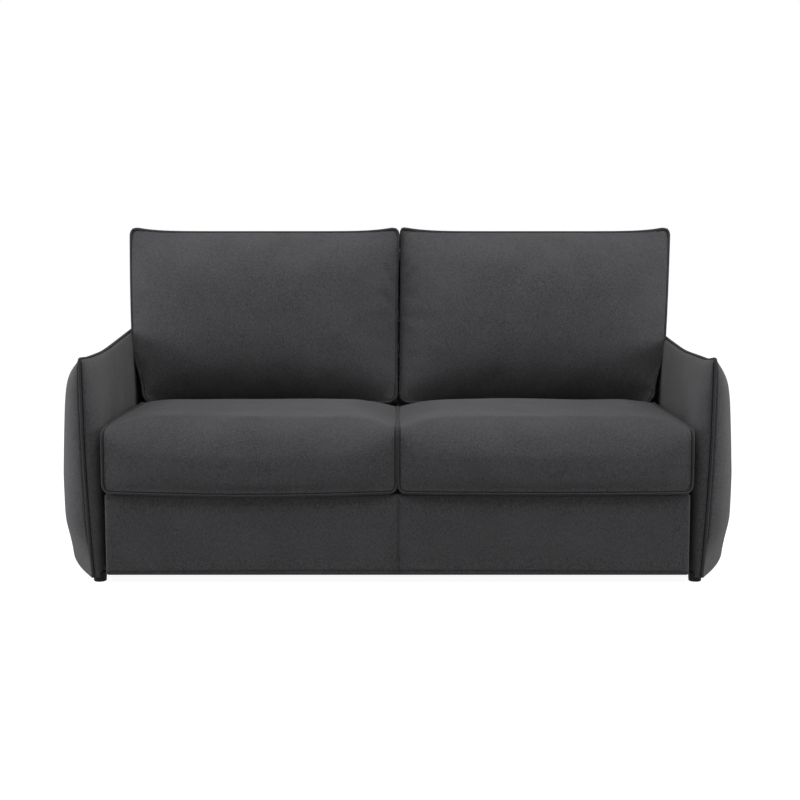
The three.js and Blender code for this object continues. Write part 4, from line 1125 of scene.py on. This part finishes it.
def front_panel():
    panel = rounded_panel(
        "front_panel_soft", FRONT_PANEL_LOW, FRONT_PANEL_HIGH, FRONT_PANEL_RADIUS, (60, 12), FRONT_PANEL_BOW
    )
    stand_in(panel, "front_panel_cover", "sofa_body")
    hem = []
    for i in range(HEM_STEPS + 1):
        t = 2 * i / HEM_STEPS - 1
        hem.append(Vector((HEM_HALF * t, HEM_Y, HEM_LOW + HEM_RISE * (1 - t**2))))
    trim("front_panel_hem", hem, HEM_RADIUS)
    for letter, sign in (("a", -1), ("b", 1)):
        groove_shade = []
        for i in range(PANEL_SEAM_STEPS + 1):
            z = PANEL_SEAM_LOW + PANEL_SEAM_LENGTH * i / PANEL_SEAM_STEPS
            groove_shade.append(Vector((PANEL_SEAM_X + sign * PANEL_SEAM_HALF, PANEL_SEAM_Y, z)))
        trim(f"front_panel_seam_{letter}", groove_shade, PANEL_SEAM_RADIUS)


def back_panel():
    panel = rounded_panel("back_panel_soft", BACK_PANEL_LOW, BACK_PANEL_HIGH, BACK_PANEL_RADIUS, (60, 30))
    stand_in(panel, "back_panel_cover", "sofa_body")


def wing_ring(x, inset, low, high):
    top_front = low[1] + (high[2] - low[2]) * math.tan(RECLINE)
    corners = [
        Vector((x, low[1] + inset, low[2] + inset)),
        Vector((x, high[1] - inset, low[2] + inset)),
        Vector((x, high[1] - inset, high[2] - inset)),
        Vector((x, top_front + inset, high[2] - inset)),
    ]
    ring = []
    for a, b in zip(corners, corners[1:] + corners[:1]):
        ring += [a.lerp(b, k / WING_STEPS) for k in range(WING_STEPS)]
    return ring


def wing(word):
    """Wedge between the back panel and a back cushion, in the space of its solid."""
    node = f"back_wing_{word}"
    low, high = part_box(node)
    rings = []
    for inset, depth in quarter_turn():
        rings.append(wing_ring(low[0] + WING_RADIUS * depth, WING_RADIUS * inset, low, high))
    for depth, inset in quarter_turn():
        rings.append(wing_ring(high[0] - WING_RADIUS * depth, WING_RADIUS * inset, low, high))
    stand_in(loft(f"{node}_soft", rings, FABRIC), node, "sofa_body")


# Mattress

MATTRESS_RADIUS = 0.022
MATTRESS_CORNER = 0.030
MATTRESS_CORNER_LEAST = 0.004
MATTRESS_CELLS = 56
MATTRESS_CELL = 0.025
MATTRESS_SIDE_INSET = 0.0012
MATTRESS_SIDE_BULGE = 0.0008
MATTRESS_FACE_REACH = 0.95
MATTRESS_FACE_SHARES = (0.12, 0.22, 0.35, 0.5, 0.7, 0.9)
TAPE_INSET = 0.0032
TAPE_RADIUS = 0.0030
TAPE_FROM_FACE = 0.010
TAPE_SIDES = 8
FOOT_MATTRESS = Vector((1.401, 0.526, 0.090))
FOOT_MATTRESS_FORWARD = -0.0578
FOOT_MATTRESS_UP = 0.265


def mattress(node, body, center, size, turn=0.0):
    """Foam block with rounded edges and a tape round each edge, turned about its width."""
    half = size / 2
    cells = (MATTRESS_CELLS, max(16, int(size.y / MATTRESS_CELL)))

    def place(x, y, z):
        along = y * math.cos(turn) - z * math.sin(turn)
        up = y * math.sin(turn) + z * math.cos(turn)
        return Vector((x, along, up)) + center

    def level(inset, z):
        corner = max(MATTRESS_CORNER - inset, MATTRESS_CORNER_LEAST)
        flat = rounded_outline(half.x - inset, half.y - inset, corner, *cells)
        return [place(p.x, p.y, z) for p in flat]

    def face_inset(share):
        return MATTRESS_RADIUS + share * (half.y - MATTRESS_RADIUS) * MATTRESS_FACE_REACH

    rings = [level(face_inset(s), -half.z) for s in MATTRESS_FACE_SHARES[::-1]]
    for inset, depth in quarter_turn():
        rings.append(level(MATTRESS_RADIUS * inset, -half.z + MATTRESS_RADIUS * depth))
    for share in (-0.5, 0, 0.5):
        inset = MATTRESS_SIDE_INSET - MATTRESS_SIDE_BULGE * (1 - abs(share))
        rings.append(level(inset, share * (half.z - MATTRESS_RADIUS)))
    for depth, inset in quarter_turn():
        rings.append(level(MATTRESS_RADIUS * inset, half.z - MATTRESS_RADIUS * depth))
    rings += [level(face_inset(s), half.z) for s in MATTRESS_FACE_SHARES]
    name = f"{node}_soft"
    stand_in(loft(name, rings, TICKING), node, body)
    for word, sign in (("low", -1), ("high", 1)):
        path = level(TAPE_INSET, sign * (half.z - TAPE_FROM_FACE))
        tape = tube(f"{name}_tape_{word}", path, TAPE_RADIUS, TICKING_TRIM, closed=True, sides=TAPE_SIDES)
        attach(tape, body)


def mattresses():
    for node, body in (("head_mattress", "head_section"), ("seat_mattress", "seat_section")):
        low, high = (Vector(corner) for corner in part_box(node))
        mattress(node, body, (low + high) / 2, high - low)
    center = back_to_world(0.0, FOOT_MATTRESS_FORWARD, FOOT_MATTRESS_UP)
    mattress("foot_mattress", "back_section", center, FOOT_MATTRESS, QUARTER - RECLINE)


# Room and light

FLOOR_HALF = 14
FLOOR_GREY = 0.40
# The floor glows to the camera and in reflections only, less near the sofa so that its shadow shows.
GLOW_NEAR = 1.2
GLOW_FAR = 2.4
GLOW_LEAST = 0.93
WORLD_STRENGTH = 0.09

# Lamps: their place, the point they face, their size across and up, and watts.
TOP_LAMP = ((0.0, -1.3, 3.4), (0.0, 0.0, 0.4), (3.6, 1.6), 101)
FRONT_LAMP = ((0.0, -5.5, 1.2), (0.0, 0.0, 0.3), (4.5, 1.8), 14)
SIDE_LAMP_PLACE = Vector((3.4, -0.7, 1.0))
SIDE_LAMP_TARGET = Vector((0.5, 0.0, 0.3))
SIDE_LAMP_SIZE = (1.2, 1.6)
SIDE_LAMP_WATTS = {-1: 61, 1: 54}


def floor():
    m = Nodes("floor")
    path = m.add("ShaderNodeLightPath")
    seen = m.math("MAXIMUM", path.outputs["Is Camera Ray"], path.outputs["Is Glossy Ray"])
    distance = m.add("ShaderNodeVectorMath", {0: m.point}, operation="LENGTH").outputs["Value"]
    reach = {"From Min": GLOW_NEAR, "From Max": GLOW_FAR, "To Min": GLOW_LEAST, "To Max": 1.0}
    near = m.add("ShaderNodeMapRange", {"Value": distance, **reach})
    glow = m.math("MULTIPLY", seen, near.outputs["Result"])
    m.set(Base_Color=(*grey(FLOOR_GREY), 1), Roughness=0.9, Specular_IOR_Level=0.0)
    m.set(Emission_Color=(1, 1, 1, 1), Emission_Strength=glow)
    corners = [Vector((x * FLOOR_HALF, y * FLOOR_HALF, 0)) for x, y in ((-1, -1), (1, -1), (1, 1), (-1, 1))]
    mesh_object("floor", corners, [(0, 1, 2, 3)], m.material)


def studio():
    world = bpy.data.worlds.new("studio")
    bpy.context.scene.world = world
    world.use_nodes = True
    tree = world.node_tree
    background = tree.nodes["Background"]
    background.inputs["Color"].default_value = (1, 1, 1, 1)
    path = tree.nodes.new("ShaderNodeLightPath")
    seen = tree.nodes.new("ShaderNodeMath")
    seen.operation = "MAXIMUM"
    tree.links.new(path.outputs["Is Camera Ray"], seen.inputs[0])
    tree.links.new(path.outputs["Is Glossy Ray"], seen.inputs[1])
    strength = tree.nodes.new("ShaderNodeMapRange")
    tree.links.new(seen.outputs[0], strength.inputs["Value"])
    strength.inputs["To Min"].default_value = WORLD_STRENGTH
    strength.inputs["To Max"].default_value = 1.0
    tree.links.new(strength.outputs["Result"], background.inputs["Strength"])


def lamp(name, location, target, size, watts):
    data = bpy.data.lights.new(name, "AREA")
    data.shape = "RECTANGLE"
    data.size, data.size_y = size
    data.energy = watts
    obj = bpy.data.objects.new(name, data)
    obj.location = location
    obj.rotation_euler = (Vector(target) - Vector(location)).to_track_quat("-Z", "Y").to_euler()
    bpy.context.collection.objects.link(obj)


def lights():
    lamp("top_light", *TOP_LAMP)
    lamp("front_light", *FRONT_LAMP)
    for word, side in SIDES:
        mirror = Vector((side, 1, 1))
        place, target = SIDE_LAMP_PLACE * mirror, SIDE_LAMP_TARGET * mirror
        lamp(f"{word}_light", place, target, SIDE_LAMP_SIZE, SIDE_LAMP_WATTS[side])


# The whole scene

add_camera()
dress_nodes()
for word, side in SIDES:
    seat_cushion(word, side)
    back_cushion(word, side)
    arm(word, side)
front_panel()
back_panel()
for word, _ in SIDES:
    wing(word)
settle_covers()
mattresses()
floor()
studio()
lights()

scene = bpy.context.scene
scene.view_settings.view_transform = "Standard"
